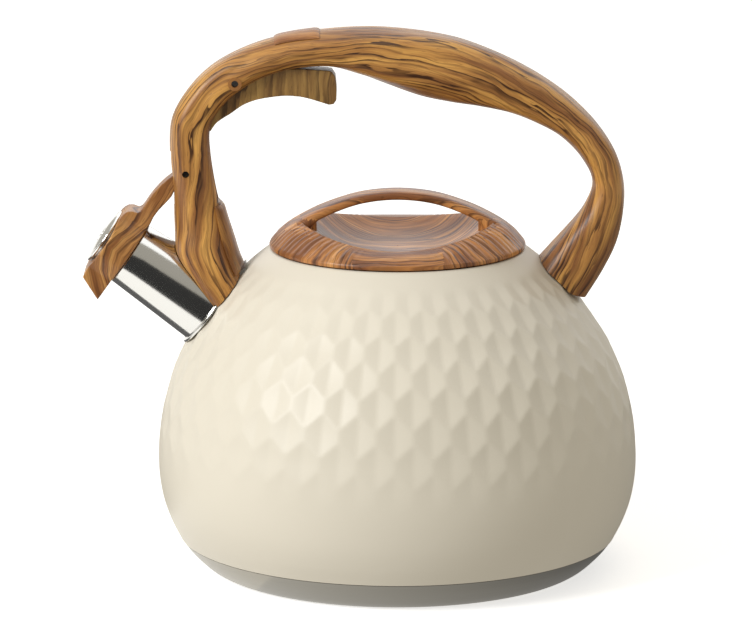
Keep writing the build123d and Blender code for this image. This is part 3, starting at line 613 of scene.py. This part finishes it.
def cut(obj, cutter, operation="DIFFERENCE"):
    """Applies a boolean with another object, then removes that object."""
    modifier = obj.modifiers.new("cut", "BOOLEAN")
    modifier.operation = operation
    modifier.solver = "MANIFOLD"
    modifier.object = cutter
    depsgraph = bpy.context.evaluated_depsgraph_get()
    result = bpy.data.meshes.new_from_object(obj.evaluated_get(depsgraph))
    obj.modifiers.clear()
    obj.data = result
    result.materials.clear()
    bpy.data.objects.remove(cutter)


def prism(name, outline, half):
    """Solid between two copies of an XZ outline, centred on Y."""
    count = len(outline)
    verts = [(x, -half, z) for x, z in outline] + [(x, half, z) for x, z in outline]
    faces = [tuple(range(count)), tuple(range(2 * count - 1, count - 1, -1))]
    for i in range(count):
        k = (i + 1) % count
        faces.append((i, i + count, k + count, k))
    return make_object(name, verts, faces, smooth=False)


def swollen_shell(name, start_height, first, gap):
    """The vessel's outside from a place along its side, made larger by a gap, as a solid."""
    swollen = [(r + gap, z) for r, z in side[first::6]]
    return lathe(name, [(0.2, start_height)] + swollen + [(40.0, 142.0), (0.2, 142.0)], 180)


def spout_solid(name, points, count):
    """Solid round the spout's axis from (out, radius) points."""
    return lathe_spout(name, [lambda a, p=p: p for p in points], count)


cut(handle, swollen_shell("body_cutter", 20.0, 10, 0.3))
cut(handle, spout_solid("spout_room", [(-50.0, 0.2), (-50.0, 17.4), (-0.5, 14.7), (-0.5, 0.2)], 96))
collar_room = spout_solid("collar_room", [(-60.0, 0.2), (-60.0, 18.8), (-8.0, 18.8), (-8.0, 0.2)], 96)
cut(collar_room, swollen_shell("collar_skin", 60.0, 60, 1.8), "INTERSECT")
cut(handle, collar_room)

pivots = {joint["name"]: joint.get("pos_m") for joint in frame["record"]["behaviour"]["joints"]}
trigger_pivot = Vector(pivots["trigger_squeeze"]) / mm
cover_pivot = Vector(pivots["cover_lift"]) / mm
PIN_HOLE = 1.5


def disc_prism(name, centre, radius, half):
    """Cylinder across the handle."""
    turns = [a * math.pi / 24 for a in range(48)]
    circle = [(centre.x + radius * math.cos(t), centre.z + radius * math.sin(t)) for t in turns]
    return prism(name, circle, half)


start = int(np.argmin(np.abs(stations[:, 1] - 158.0) + (stations[:, 0] > 0) * 999))
stop = int(np.argmin(np.abs(stations[:, 0] + 24.0)))
CHANNEL_WALL = 3.0  # left on the handle's outer side
CHANNEL_PAST = 9.0  # how far the cutter runs past the inner side
CHANNEL_HALF = 6.5
roof, mouth = [], []
for s in stations[start:stop:3]:
    way = Vector((s[2] - s[0], s[3] - s[1])).normalized()
    roof.append((s[0] + way.x * CHANNEL_WALL, s[1] + way.y * CHANNEL_WALL))
    mouth.append((s[2] + way.x * CHANNEL_PAST, s[3] + way.y * CHANNEL_PAST))
cut(handle, prism("channel", roof + mouth[::-1], CHANNEL_HALF))
cut(handle, prism("arm_slot", [(-104, 157.6), (-90, 157.6), (-90, 181.0), (-104, 181.0)], 5.7))
for hand in (-1, 1):  # a boss round each end of the trigger's pin, 0.35 mm proud
    outside = Vector((trigger_pivot.x, hand * 30.0, trigger_pivot.z)) * mm
    _, skin, _, _ = handle.ray_cast(outside, Vector((0, -hand, 0)))
    boss = disc_prism("boss", trigger_pivot, 2.9, 2.0)
    boss.location.y = skin.y - hand * 1.65 * mm
    bpy.context.view_layer.update()
    cut(handle, boss, "UNION")
cut(handle, disc_prism("trigger_hole", trigger_pivot, PIN_HOLE, 20.0))
cut(handle, disc_prism("cover_hole", cover_pivot, PIN_HOLE, 20.0))
handle.data.shade_smooth()
handle.data.set_sharp_from_angle(angle=math.radians(38))
wood_handle = wood_material(
    "wood_print_handle", (0.68, 0.355, 0.088), (0.47, 0.22, 0.055), (0.26, 0.105, 0.03),
    (0.05, 0.018, 0.007), 0.36, 1.0, 0.38,
)  # fmt: skip
handle.data.materials.clear()
handle.data.materials.append(wood_handle)
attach(handle, "vessel")
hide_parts("handle_shell")

# ---- Handle top cap ----------------------------------------------------------------------------
# handle_top_cap: raised pad let into the crown over the trigger's pin, with a stepped front edge.
# It is the same film-wrapped moulding, its figure running across the handle's.
def surface_patch(name, rows_used, columns_used, lift, root):
    """Plate that follows part of the handle's surface, its edges eased, closed underneath."""
    upper, lower = [], []
    last_row, last_column = len(rows_used) - 1, len(columns_used) - 1
    for a, row in enumerate(rows_used):
        ring = handle_verts[row]
        centre = ring.mean(axis=0)
        for b, column in enumerate(columns_used):
            point = ring[column]
            out = point - centre
            out = out / np.linalg.norm(out)
            edge = min(a, last_row - a, b, last_column - b)
            eased = lift - (0.55 if edge == 0 else 0.12 if edge == 1 else 0.0)
            upper.append(point + out * eased)
            lower.append(point - out * root)
    width = len(columns_used)
    total = len(upper)
    faces = []
    for a in range(last_row):
        for b in range(last_column):
            corner = a * width + b
            quad = (corner, corner + 1, corner + width + 1, corner + width)
            faces.append(quad)
            faces.append(tuple(v + total for v in quad[::-1]))
    border = list(range(last_column)) + [a * width + last_column for a in range(last_row)]
    border += [last_row * width + b for b in range(last_column, 0, -1)]
    border += [a * width for a in range(last_row, 0, -1)]
    for k, v in enumerate(border):
        w = border[(k + 1) % len(border)]
        faces.append((v, w, w + total, v + total))
    obj = make_object(name, upper + lower, faces)
    obj.data.set_sharp_from_angle(angle=math.radians(40))
    return obj


crown_rows = [i for i, s in enumerate(stations) if -53.5 < s[0] < -32.5 and s[1] > 220]
crown_columns = list(range(-9, 10))
top_cap = surface_patch("top_cap", crown_rows, crown_columns, 0.95, 1.2)
grain_map(top_cap, lambda point, index, face: (point.x * mm, (point.y + 30) * mm))
wood_cap = wood_material(
    "wood_print_cap", (0.60, 0.29, 0.09), (0.44, 0.19, 0.055), (0.27, 0.10, 0.03),
    (0.06, 0.022, 0.008), 0.34, 0.8, 0.38,
)  # fmt: skip
top_cap.data.materials.append(wood_cap)
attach(top_cap, "vessel")
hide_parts("handle_top_cap")

# ---- Leg cover ---------------------------------------------------------------------------------
# leg_cover: plate along the inner side of the front leg that hides the screw and the bracket. It
# stands a little proud, with a square top edge, and snaps into the handle.
leg_rows = [i for i, s in enumerate(stations) if s[0] < -70 and s[1] < 158 and s[3] > 129.5]
leg_columns = list(range(AROUND // 2 - 9, AROUND // 2 + 10))
leg_plate = surface_patch("leg_plate", leg_rows, leg_columns, 1.25, 1.1)
grain_map(leg_plate, lambda point, index, face: (point.z * mm, (point.y + 9) * mm))
wood_leg = wood_material(
    "wood_print_leg", (0.60, 0.315, 0.08), (0.43, 0.20, 0.05), (0.25, 0.10, 0.028),
    (0.05, 0.018, 0.007), 0.34, 0.9, 0.38,
)  # fmt: skip
leg_plate.data.materials.append(wood_leg)
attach(leg_plate, "vessel")
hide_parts("leg_cover")

# ---- Trigger -----------------------------------------------------------------------------------
# trigger_lever: finger lever in the handle's channel, moulded in one piece, turning on a cross
# pin. A nose at its front end pushes the tail of the whistle cover.
def soften(obj, voxel, rounds):
    """Rebuilds a solid on a fine grid and eases its corners."""
    remesh = obj.modifiers.new("remesh", "REMESH")
    remesh.mode = "VOXEL"
    remesh.voxel_size = voxel * mm
    remesh.use_smooth_shade = True
    ease = obj.modifiers.new("ease", "SMOOTH")
    ease.factor = 0.5
    ease.iterations = rounds
    depsgraph = bpy.context.evaluated_depsgraph_get()
    result = bpy.data.meshes.new_from_object(obj.evaluated_get(depsgraph))
    obj.modifiers.clear()
    obj.data = result


lever_lower = smooth_run(
    [(-79.8, 189.4), (-77.1, 193.2), (-70.9, 197.4), (-65.7, 201.0), (-60.4, 203.1), (-54.8, 204.2),
     (-48.4, 204.9), (-41.9, 204.6), (-37.6, 203.7), (-33.3, 202.4), (-29.2, 201.1)],
    40,
)  # fmt: skip
lever_outline = [tuple(p) for p in lever_lower]
lever_outline += [(-27.2, 201.4), (-26.0, 203.2), (-25.9, 208.0), (-26.4, 213.0), (-28.0, 215.4)]
lever_outline += [(-30.6, 215.8), (-44.0, 216.6), (-58.0, 216.4), (-69.0, 216.2), (-74.4, 213.2)]
lever_outline += [(-84.4, 198.6)]
LEVER_HALF = 5.5
NOSE_RADIUS = 1.8
PIVOT_BORE = 1.62
lever = prism("lever", lever_outline, LEVER_HALF)
link = cover_pivot - trigger_pivot
nose_angle = math.pi + math.atan(link.z / link.x) - math.radians(13)
nose_way = Vector((math.cos(nose_angle), 0, math.sin(nose_angle)))
nose = trigger_pivot + nose_way * link.length * 0.8
half_stalk = Vector((-nose_way.z, 0, nose_way.x)) * NOSE_RADIUS
stalk_top = trigger_pivot + nose_way * 10
stalk_points = [stalk_top + half_stalk, nose + half_stalk, nose - half_stalk, stalk_top - half_stalk]
cut(lever, prism("stalk", [(p.x, p.z) for p in stalk_points], LEVER_HALF), "UNION")
cut(lever, disc_prism("nose", nose, NOSE_RADIUS, LEVER_HALF), "UNION")
cut(lever, disc_prism("bore", trigger_pivot, PIVOT_BORE, 8.0))
cut(lever, disc_prism("spring_room", trigger_pivot, 4.6, 3.3))
cut(lever, prism("spring_slot", [(-77, 211), (-55.5, 211), (-55.5, 222), (-77, 222)], 3.3))
soften(lever, 0.32, 3)


def lever_grain(point, index, face):
    """Upright on the lever's sides, and across it on its edges."""
    return (point.z + point.x * 0.12) * mm, (point.x * 0.62 + point.y * 0.5) * mm


grain_map(lever, lever_grain)
# The trigger's film is a darker copy of the handle's: painted shade, for the shadow it lies in under the
# handle.
trigger_film_painted_shade = wood_material(
    "wood_print_trigger", (0.46, 0.28, 0.085), (0.34, 0.195, 0.058), (0.19, 0.098, 0.03),
    (0.06, 0.028, 0.010), 0.24, 0.75, 0.36,
)  # fmt: skip
lever.data.materials.append(trigger_film_painted_shade)
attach(lever, "trigger")
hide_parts("trigger_lever")

# ---- Whistle cover -----------------------------------------------------------------------------
# spout_cover: arm, cap and thumb tab in one moulding. The arm turns on a cross pin in the front
# leg, its tail reaches up to the trigger's nose, and the cap closes the spout's mouth.
def spout_frame(point):
    """A point's distance out along the spout's axis and up across it."""
    spoke = Vector(point) - spout_mouth
    return spoke.dot(spout_way), spoke.dot(spout_up)


mouth_top = spout_mouth + spout_way * 0.4 + spout_up * 16.6
mouth_low = spout_mouth + spout_way * 0.4 - spout_up * 22.8
cover_outline = [
    (-93.4, 172.0), (-96.4, 170.1), (-99.2, 168.0), (-101.8, 165.5), (-104.2, 162.9),
    (-106.4, 160.0), (-108.2, 157.2), (-109.5, 155.4), (-110.9, 154.8), (-113.3, 155.6),
    (-115.4, 155.4), (-117.1, 154.3), (-118.6, 152.6), (-120.0, 150.0), (-122.0, 146.0),
    (-125.6, 140.4), (-129.3, 135.2), (-132.4, 131.6), (-134.4, 127.6), (mouth_low.x, mouth_low.z),
    (mouth_top.x, mouth_top.z), (-104.2, 152.6), (-102.1, 155.3), (-98.8, 158.7), (-96.4, 161.4),
    (-94.4, 165.6),
]  # fmt: skip
cover = prism("cover", cover_outline, 20.0)
front_outline = [(17.0 * math.sin(a), 17.0 * math.cos(a)) for a in np.radians(np.arange(36, 122, 6))]
front_outline += [(12.6, -12.5), (11.4, -22.0), (9.6, -24.5)]
front_outline = [(5.2, 60.0), (5.2, 25.0), (6.0, 21.0), (8.0, 17.6)] + front_outline
front_outline += [(-w, v) for w, v in front_outline[::-1]]
front_verts = []
for out in (-40.0, 60.0):
    for w, v in front_outline:
        front_verts.append(tuple(spout_mouth + spout_way * out + spout_up * v + spout_side * w))
count = len(front_outline)
front_faces = [tuple(range(count)), tuple(range(2 * count - 1, count - 1, -1))]
front_faces += [(k, k + count, (k + 1) % count + count, (k + 1) % count) for k in range(count)]
cut(cover, make_object("front", front_verts, front_faces, smooth=False), "INTERSECT")
cut(cover, disc_prism("hub", cover_pivot, 4.8, 5.0), "UNION")
tail = [(-91.0, 168.0), (-87.0, 168.0), (-85.6, 172.0), (-86.7, 184.4), (-89.6, 184.4)]
tail += [(-90.6, 183.6), (-91.6, 181.4), (-91.7, 180.4), (-93.0, 172.0)]
cut(cover, prism("tail", tail, 3.0), "UNION")
cut(cover, disc_prism("cover_bore", cover_pivot, PIVOT_BORE, 8.0))
cut(cover, spout_solid("whistle_bore", [(-2.0, 0.3), (-2.0, 11.1), (16.0, 11.1), (16.0, 0.3)], 64))
soften(cover, 0.34, 3)

bend_up = (-24, -16, -10.6, -4.8, 0.1, 6.8, 14.5, 19, 26, 34, 44)
bend_out = (-12, -3, 3.9, 7.4, 9.1, 7.9, 3.4, 2.4, 2.0, 1.5, 0.9)


def cover_grain(point, index, face):
    """Along the arm and cap, and across them from their bent centre line."""
    out, up = spout_frame(point)
    arc = float(np.interp(up, bend_up, bend_out))
    return up * mm, ((out - arc) * 1.1 + abs(point.y) * 0.4 + 20) * mm


grain_map(cover, cover_grain)
wood_cover = wood_material(
    "wood_print_cover", (0.62, 0.33, 0.10), (0.42, 0.19, 0.055), (0.24, 0.09, 0.025),
    (0.06, 0.02, 0.006), 0.30, 0.95, 0.38,
)  # fmt: skip
cover.data.materials.append(wood_cover)
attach(cover, "cover")
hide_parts("spout_cover")

# ---- Whistle dome ------------------------------------------------------------------------------
# whistle_dome: pressed plate of polished steel over the whistle's chamber, with a round edge and
# the steam hole in the middle. It is crimped on to the cup inside the cap.
dome_line = [(12.4, 12.3), (12.8, 12.7), (13.3, 12.6), (13.6, 12.0), (13.5, 11.2), (13.8, 9.8)]
dome_line += [(14.2, 7.6), (14.5, 5.2), (14.6, 3.4), (14.4, 2.8), (14.0, 2.8), (13.9, 5.0)]
dome_line += [(13.6, 7.4), (13.2, 9.4), (12.9, 10.8), (12.4, 11.4)]
dome = spout_solid("dome", dome_line, 96)
dome.data.materials.append(metal_material("steel_dome", (0.76, 0.76, 0.74), 0.12))
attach(dome, "cover")
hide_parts("whistle_dome")

# ---- Lid ---------------------------------------------------------------------------------------
# lid_grip: moulded lid top in the same film: a sloping rim, a finger dish and a flat arch across
# it. Two screws from below hold it to the steel plate that drops on to the seat.
LID_AROUND = 552
LID_FLUTES = 92
lid_angles = np.arange(LID_AROUND) * 2 * math.pi / LID_AROUND
ends = np.abs(np.cos(lid_angles))  # 1 under the arch's ends, 0 at the sides


def dish_edge(end):
    """Radius of the edge between the sloping rim and the finger dish."""
    return 38.2 + 3.6 * end**2


edge_radius = dish_edge(ends)
edge_height = 144.1 + 7.0 * ends**2
flutes = 0.26 * np.cos(lid_angles * LID_FLUTES) * np.clip((ends - 0.30) / 0.2, 0, 1)
RIM_RADIUS, RIM_Z = 54.6, 141.0
DISH_Z = 138.9
lid_rings = []


def lid_ring(radius, height):
    """Adds one ring of the lid; radius and height may vary round it."""
    radius, height = radius + 0 * lid_angles, height + 0 * lid_angles
    lid_rings.append(np.stack([radius * np.cos(lid_angles), radius * np.sin(lid_angles), height], axis=1))


lid_foot = [(0.3, 136.15), (50.6, 136.15), (50.7, 138.6), (54.2, 139.0), (54.8, 139.3), (54.9, 140.3)]
for radius, height in lid_foot + [(RIM_RADIUS, RIM_Z)]:
    lid_ring(radius, height)
for share in np.linspace(0.08, 0.94, 9):  # the sloping rim
    bulge = (1.0 + 0.5 * ends**4) * math.sin(math.pi * share)
    fluted = flutes * math.sin(math.pi * share) ** 0.5
    slope = RIM_Z + (edge_height - RIM_Z) * share
    lid_ring(RIM_RADIUS + (edge_radius - RIM_RADIUS) * share, slope + bulge + fluted)
lid_ring(edge_radius + 0.3, edge_height + 0.1)
lid_ring(edge_radius - 0.3, edge_height - 0.05)
for share in np.linspace(0.10, 1.0, 14):  # the dish
    fall = (1 - share) ** 2.2
    lid_ring((edge_radius - 0.7) * (1 - share * 0.66), DISH_Z + (edge_height - 139.3) * fall)
lid_ring(0.3, DISH_Z)
lid = make_object("lid_top", np.concatenate(lid_rings), ring_faces(len(lid_rings), LID_AROUND, True))
crown = smooth_run(
    [
        (-52.9, 142.6), (-51.2, 144.9), (-46.0, 149.3), (-38.9, 153.6), (-29.7, 157.9),
        (-16.0, 162.2), (0.0, 163.8), (16.0, 162.2), (29.7, 157.9), (38.9, 153.6),
        (46.0, 149.3), (51.2, 144.9), (52.9, 142.6),
],
    121,
)  # fmt: skip
SECTION_POINTS = 28
arch_section = []
for a in np.arange(SECTION_POINTS) * 2 * math.pi / SECTION_POINTS:
    across = abs(math.cos(a)) ** 0.40 * math.copysign(1, math.cos(a))
    upright = abs(math.sin(a)) ** 0.62 * math.copysign(1, math.sin(a))
    arch_section.append((across, upright))
arch_way = np.gradient(crown, axis=0)
arch_way /= np.linalg.norm(arch_way, axis=1)[:, None]
arch_verts = []
for (x, z), (way_x, way_z) in zip(crown, arch_way):
    share = abs(x) / crown[-1][0]
    half = 6.9 + 6.5 * share**3
    thick = 3.7 + 1.2 * share**2 + 6.0 * max(abs(x) - 36, 0) / 16.9
    for across, upright in arch_section:
        drop = (upright - 1) * thick / 2 - 0.5 * across * across
        arch_verts.append((x - way_z * drop, across * half, z + way_x * drop))
arch_faces = ring_faces(len(crown), SECTION_POINTS)
arch_faces.append(tuple(range(SECTION_POINTS)))
arch_faces.append(tuple(range((len(crown) - 1) * SECTION_POINTS, len(crown) * SECTION_POINTS)))
cut(lid, make_object("arch", arch_verts, arch_faces), "UNION")
for hand in (-1, 1):
    post = lathe("post", [(0.2, 140.0), (2.6, 140.0), (2.4, 150.0), (2.0, 153.6), (0.2, 153.6)], 32)
    post.location.x = hand * 37.0 * mm
    bpy.context.view_layer.update()
    cut(lid, post, "UNION")


def lid_grain(point, index, face):
    """Across the arch's length, outwards on the sloping rim, and round and round in the dish."""
    middle = face.center / mm
    radius = math.hypot(middle.x, middle.y)
    end = abs(middle.x) / radius
    edge = dish_edge(end)
    turn = math.atan2(abs(point.y), abs(point.x)) + (0.0 if middle.x < 0 else 2.0)
    rim_top = 142.8 + (edge - radius + 16.4) * (0.19 + 0.30 * end**2)
    if radius > edge and middle.z < rim_top:
        if abs(middle.x) > 19:
            return math.hypot(point.x, point.y) * mm, turn * 36 * mm
        return point.x * mm, (math.hypot(point.x, point.y) + 60) * mm
    if middle.z > 152 or radius > 44:
        return point.x * mm, (point.y * 1.2 + point.z * 0.4 + 90) * mm
    return point.x * 0.8 * mm, (point.y * 0.8 - 0.011 * point.x**2 + 60) * mm


grain_map(lid, lid_grain)
lid.data.shade_smooth()
lid.data.set_sharp_from_angle(angle=math.radians(35))
wood_lid = wood_material(
    "wood_print_lid", (0.70, 0.33, 0.10), (0.44, 0.18, 0.052), (0.22, 0.08, 0.027),
    (0.06, 0.02, 0.008), 0.42, 0.9, 0.36,
)  # fmt: skip
lid.data.materials.clear()
lid.data.materials.append(wood_lid)
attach(lid, "lid")
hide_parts("lid_grip")

# ---- Steel inside and under the kettle ---------------------------------------------------------
# Pressed and turned steel parts, an aluminium disc bonded under the vessel, cross pins and screws.
# These keep their own shapes and only take a finish. The pins are near-black: painted shade of their holes.
inner_metals = [
    ("steel_pan", (0.62, 0.62, 0.60), 0.30, ("bottom_pan",)),
    ("aluminium", (0.70, 0.70, 0.71), 0.42, ("heat_spreader",)),
    ("steel_bracket", (0.42, 0.42, 0.41), 0.34, ("front_bracket", "rear_bracket")),
    ("steel_screw", (0.48, 0.48, 0.47), 0.28, ("handle_screws", "lid_screws")),
    # near-black tone: painted shade, so the pins' ends read as dark holes in the handle
    ("steel_pin", (0.10, 0.10, 0.10), 0.35, ("trigger_pin", "cover_pin")),
    ("steel_spring", (0.50, 0.50, 0.49), 0.25, ("trigger_spring",)),
    ("steel_whistle", (0.66, 0.66, 0.64), 0.22, ("whistle_cup", "whistle_disc")),
    ("steel_lid", (0.64, 0.64, 0.62), 0.24, ("lid_plate", "lid_skirt")),
]
for finish, tone, roughness, parts in inner_metals:
    steel = metal_material(finish, tone, roughness)
    for part in parts:
        frame["nodes"][part].data.materials[0] = steel

# ---- Floor and light ---------------------------------------------------------------------------
# A plain pale sweep and a soft key from the left. Paper cards show only as reflections, mostly in
# the steel: dark in front, dim behind the spout, fading to the right, bright above.
floor_mesh = bpy.data.meshes.new("floor")
floor_mesh.from_pydata([(-6, -6, 0), (6, -6, 0), (6, 6, 0), (-6, 6, 0)], [], [(0, 1, 2, 3)])
floor = bpy.data.objects.new("floor", floor_mesh)
scene.collection.objects.link(floor)
pale = bpy.data.materials.new("pale_floor")
pale.use_nodes = True
sweep = pale.node_tree.nodes["Principled BSDF"]
sweep.inputs["Base Color"].default_value = (0.93, 0.93, 0.93, 1)
sweep.inputs["Roughness"].default_value = 0.7
sweep.inputs["Specular IOR Level"].default_value = 0.1
sweep.inputs["Emission Color"].default_value = (1.0, 1.0, 1.0, 1)
sweep.inputs["Emission Strength"].default_value = 0.6
floor_mesh.materials.append(pale)
floor.visible_diffuse = False

world = bpy.data.worlds.new("studio")
scene.world = world
world.use_nodes = True
world.node_tree.nodes["Background"].inputs["Color"].default_value = (1.0, 0.95, 0.84, 1)
world.node_tree.nodes["Background"].inputs["Strength"].default_value = 0.5

for name, place, size, power, colour in (
    ("key", (-1.5, -1.1, 1.1), 0.9, 33.0, (0.98, 0.99, 1.0)),
    ("fill", (1.4, -1.2, 0.8), 1.2, 0.6, (1.0, 0.96, 0.9)),
):
    lamp_data = bpy.data.lights.new(name, "AREA")
    lamp_data.shape = "SQUARE"
    lamp_data.size = size
    lamp_data.energy = power
    lamp_data.color = colour
    lamp = bpy.data.objects.new(name, lamp_data)
    scene.collection.objects.link(lamp)
    lamp.location = place
    lamp.rotation_euler = (Vector(place) - Vector((0, 0, 0.1))).to_track_quat("Z", "Y").to_euler()

for name, left, right, near, far, glow in (  # near and far edges as (y, z)
    ("dark_card", -0.30, 0.08, (-0.166, 0.002), (-0.21, 0.186), 0.035),
    ("left_card", -0.45, -0.12, (0.03, 0.002), (0.5, 0.002), 0.14),
    ("right_card", -0.06, 0.9, (-0.9, 0.001), (0.6, 0.001), 0.0),
    ("bright_card", -0.6, 1.4, (-0.5, 1.0), (1.4, 0.3), 1.6),
):
    corners = [(left, *near), (right, *near), (right, *far), (left, *far)]
    card_mesh = bpy.data.meshes.new(name)
    card_mesh.from_pydata(corners, [], [(0, 1, 2, 3)])
    card = bpy.data.objects.new(name, card_mesh)
    scene.collection.objects.link(card)
    paper = bpy.data.materials.new(name)
    paper.use_nodes = True
    sheet = paper.node_tree.nodes["Principled BSDF"]
    sheet.inputs["Base Color"].default_value = (0.01, 0.01, 0.01, 1)
    sheet.inputs["Specular IOR Level"].default_value = 0.0
    sheet.inputs["Emission Color"].default_value = (1.0, 1.0, 1.0, 1)
    sheet.inputs["Emission Strength"].default_value = glow
    if name == "right_card":  # its glow fades along X
        nodes, links = paper.node_tree.nodes, paper.node_tree.links
        reach = nodes.new("ShaderNodeTexCoord")
        split = nodes.new("ShaderNodeSeparateXYZ")
        fade = nodes.new("ShaderNodeMapRange")
        fade.inputs["From Min"].default_value = left
        fade.inputs["From Max"].default_value = 0.10
        fade.inputs["To Min"].default_value = 1.06
        fade.inputs["To Max"].default_value = 0.16
        links.new(reach.outputs["Object"], split.inputs["Vector"])
        links.new(split.outputs["X"], fade.inputs["Value"])
        links.new(fade.outputs["Result"], sheet.inputs["Emission Strength"])
    card_mesh.materials.append(paper)
    card.visible_camera = False
    card.visible_diffuse = False
    card.visible_shadow = False
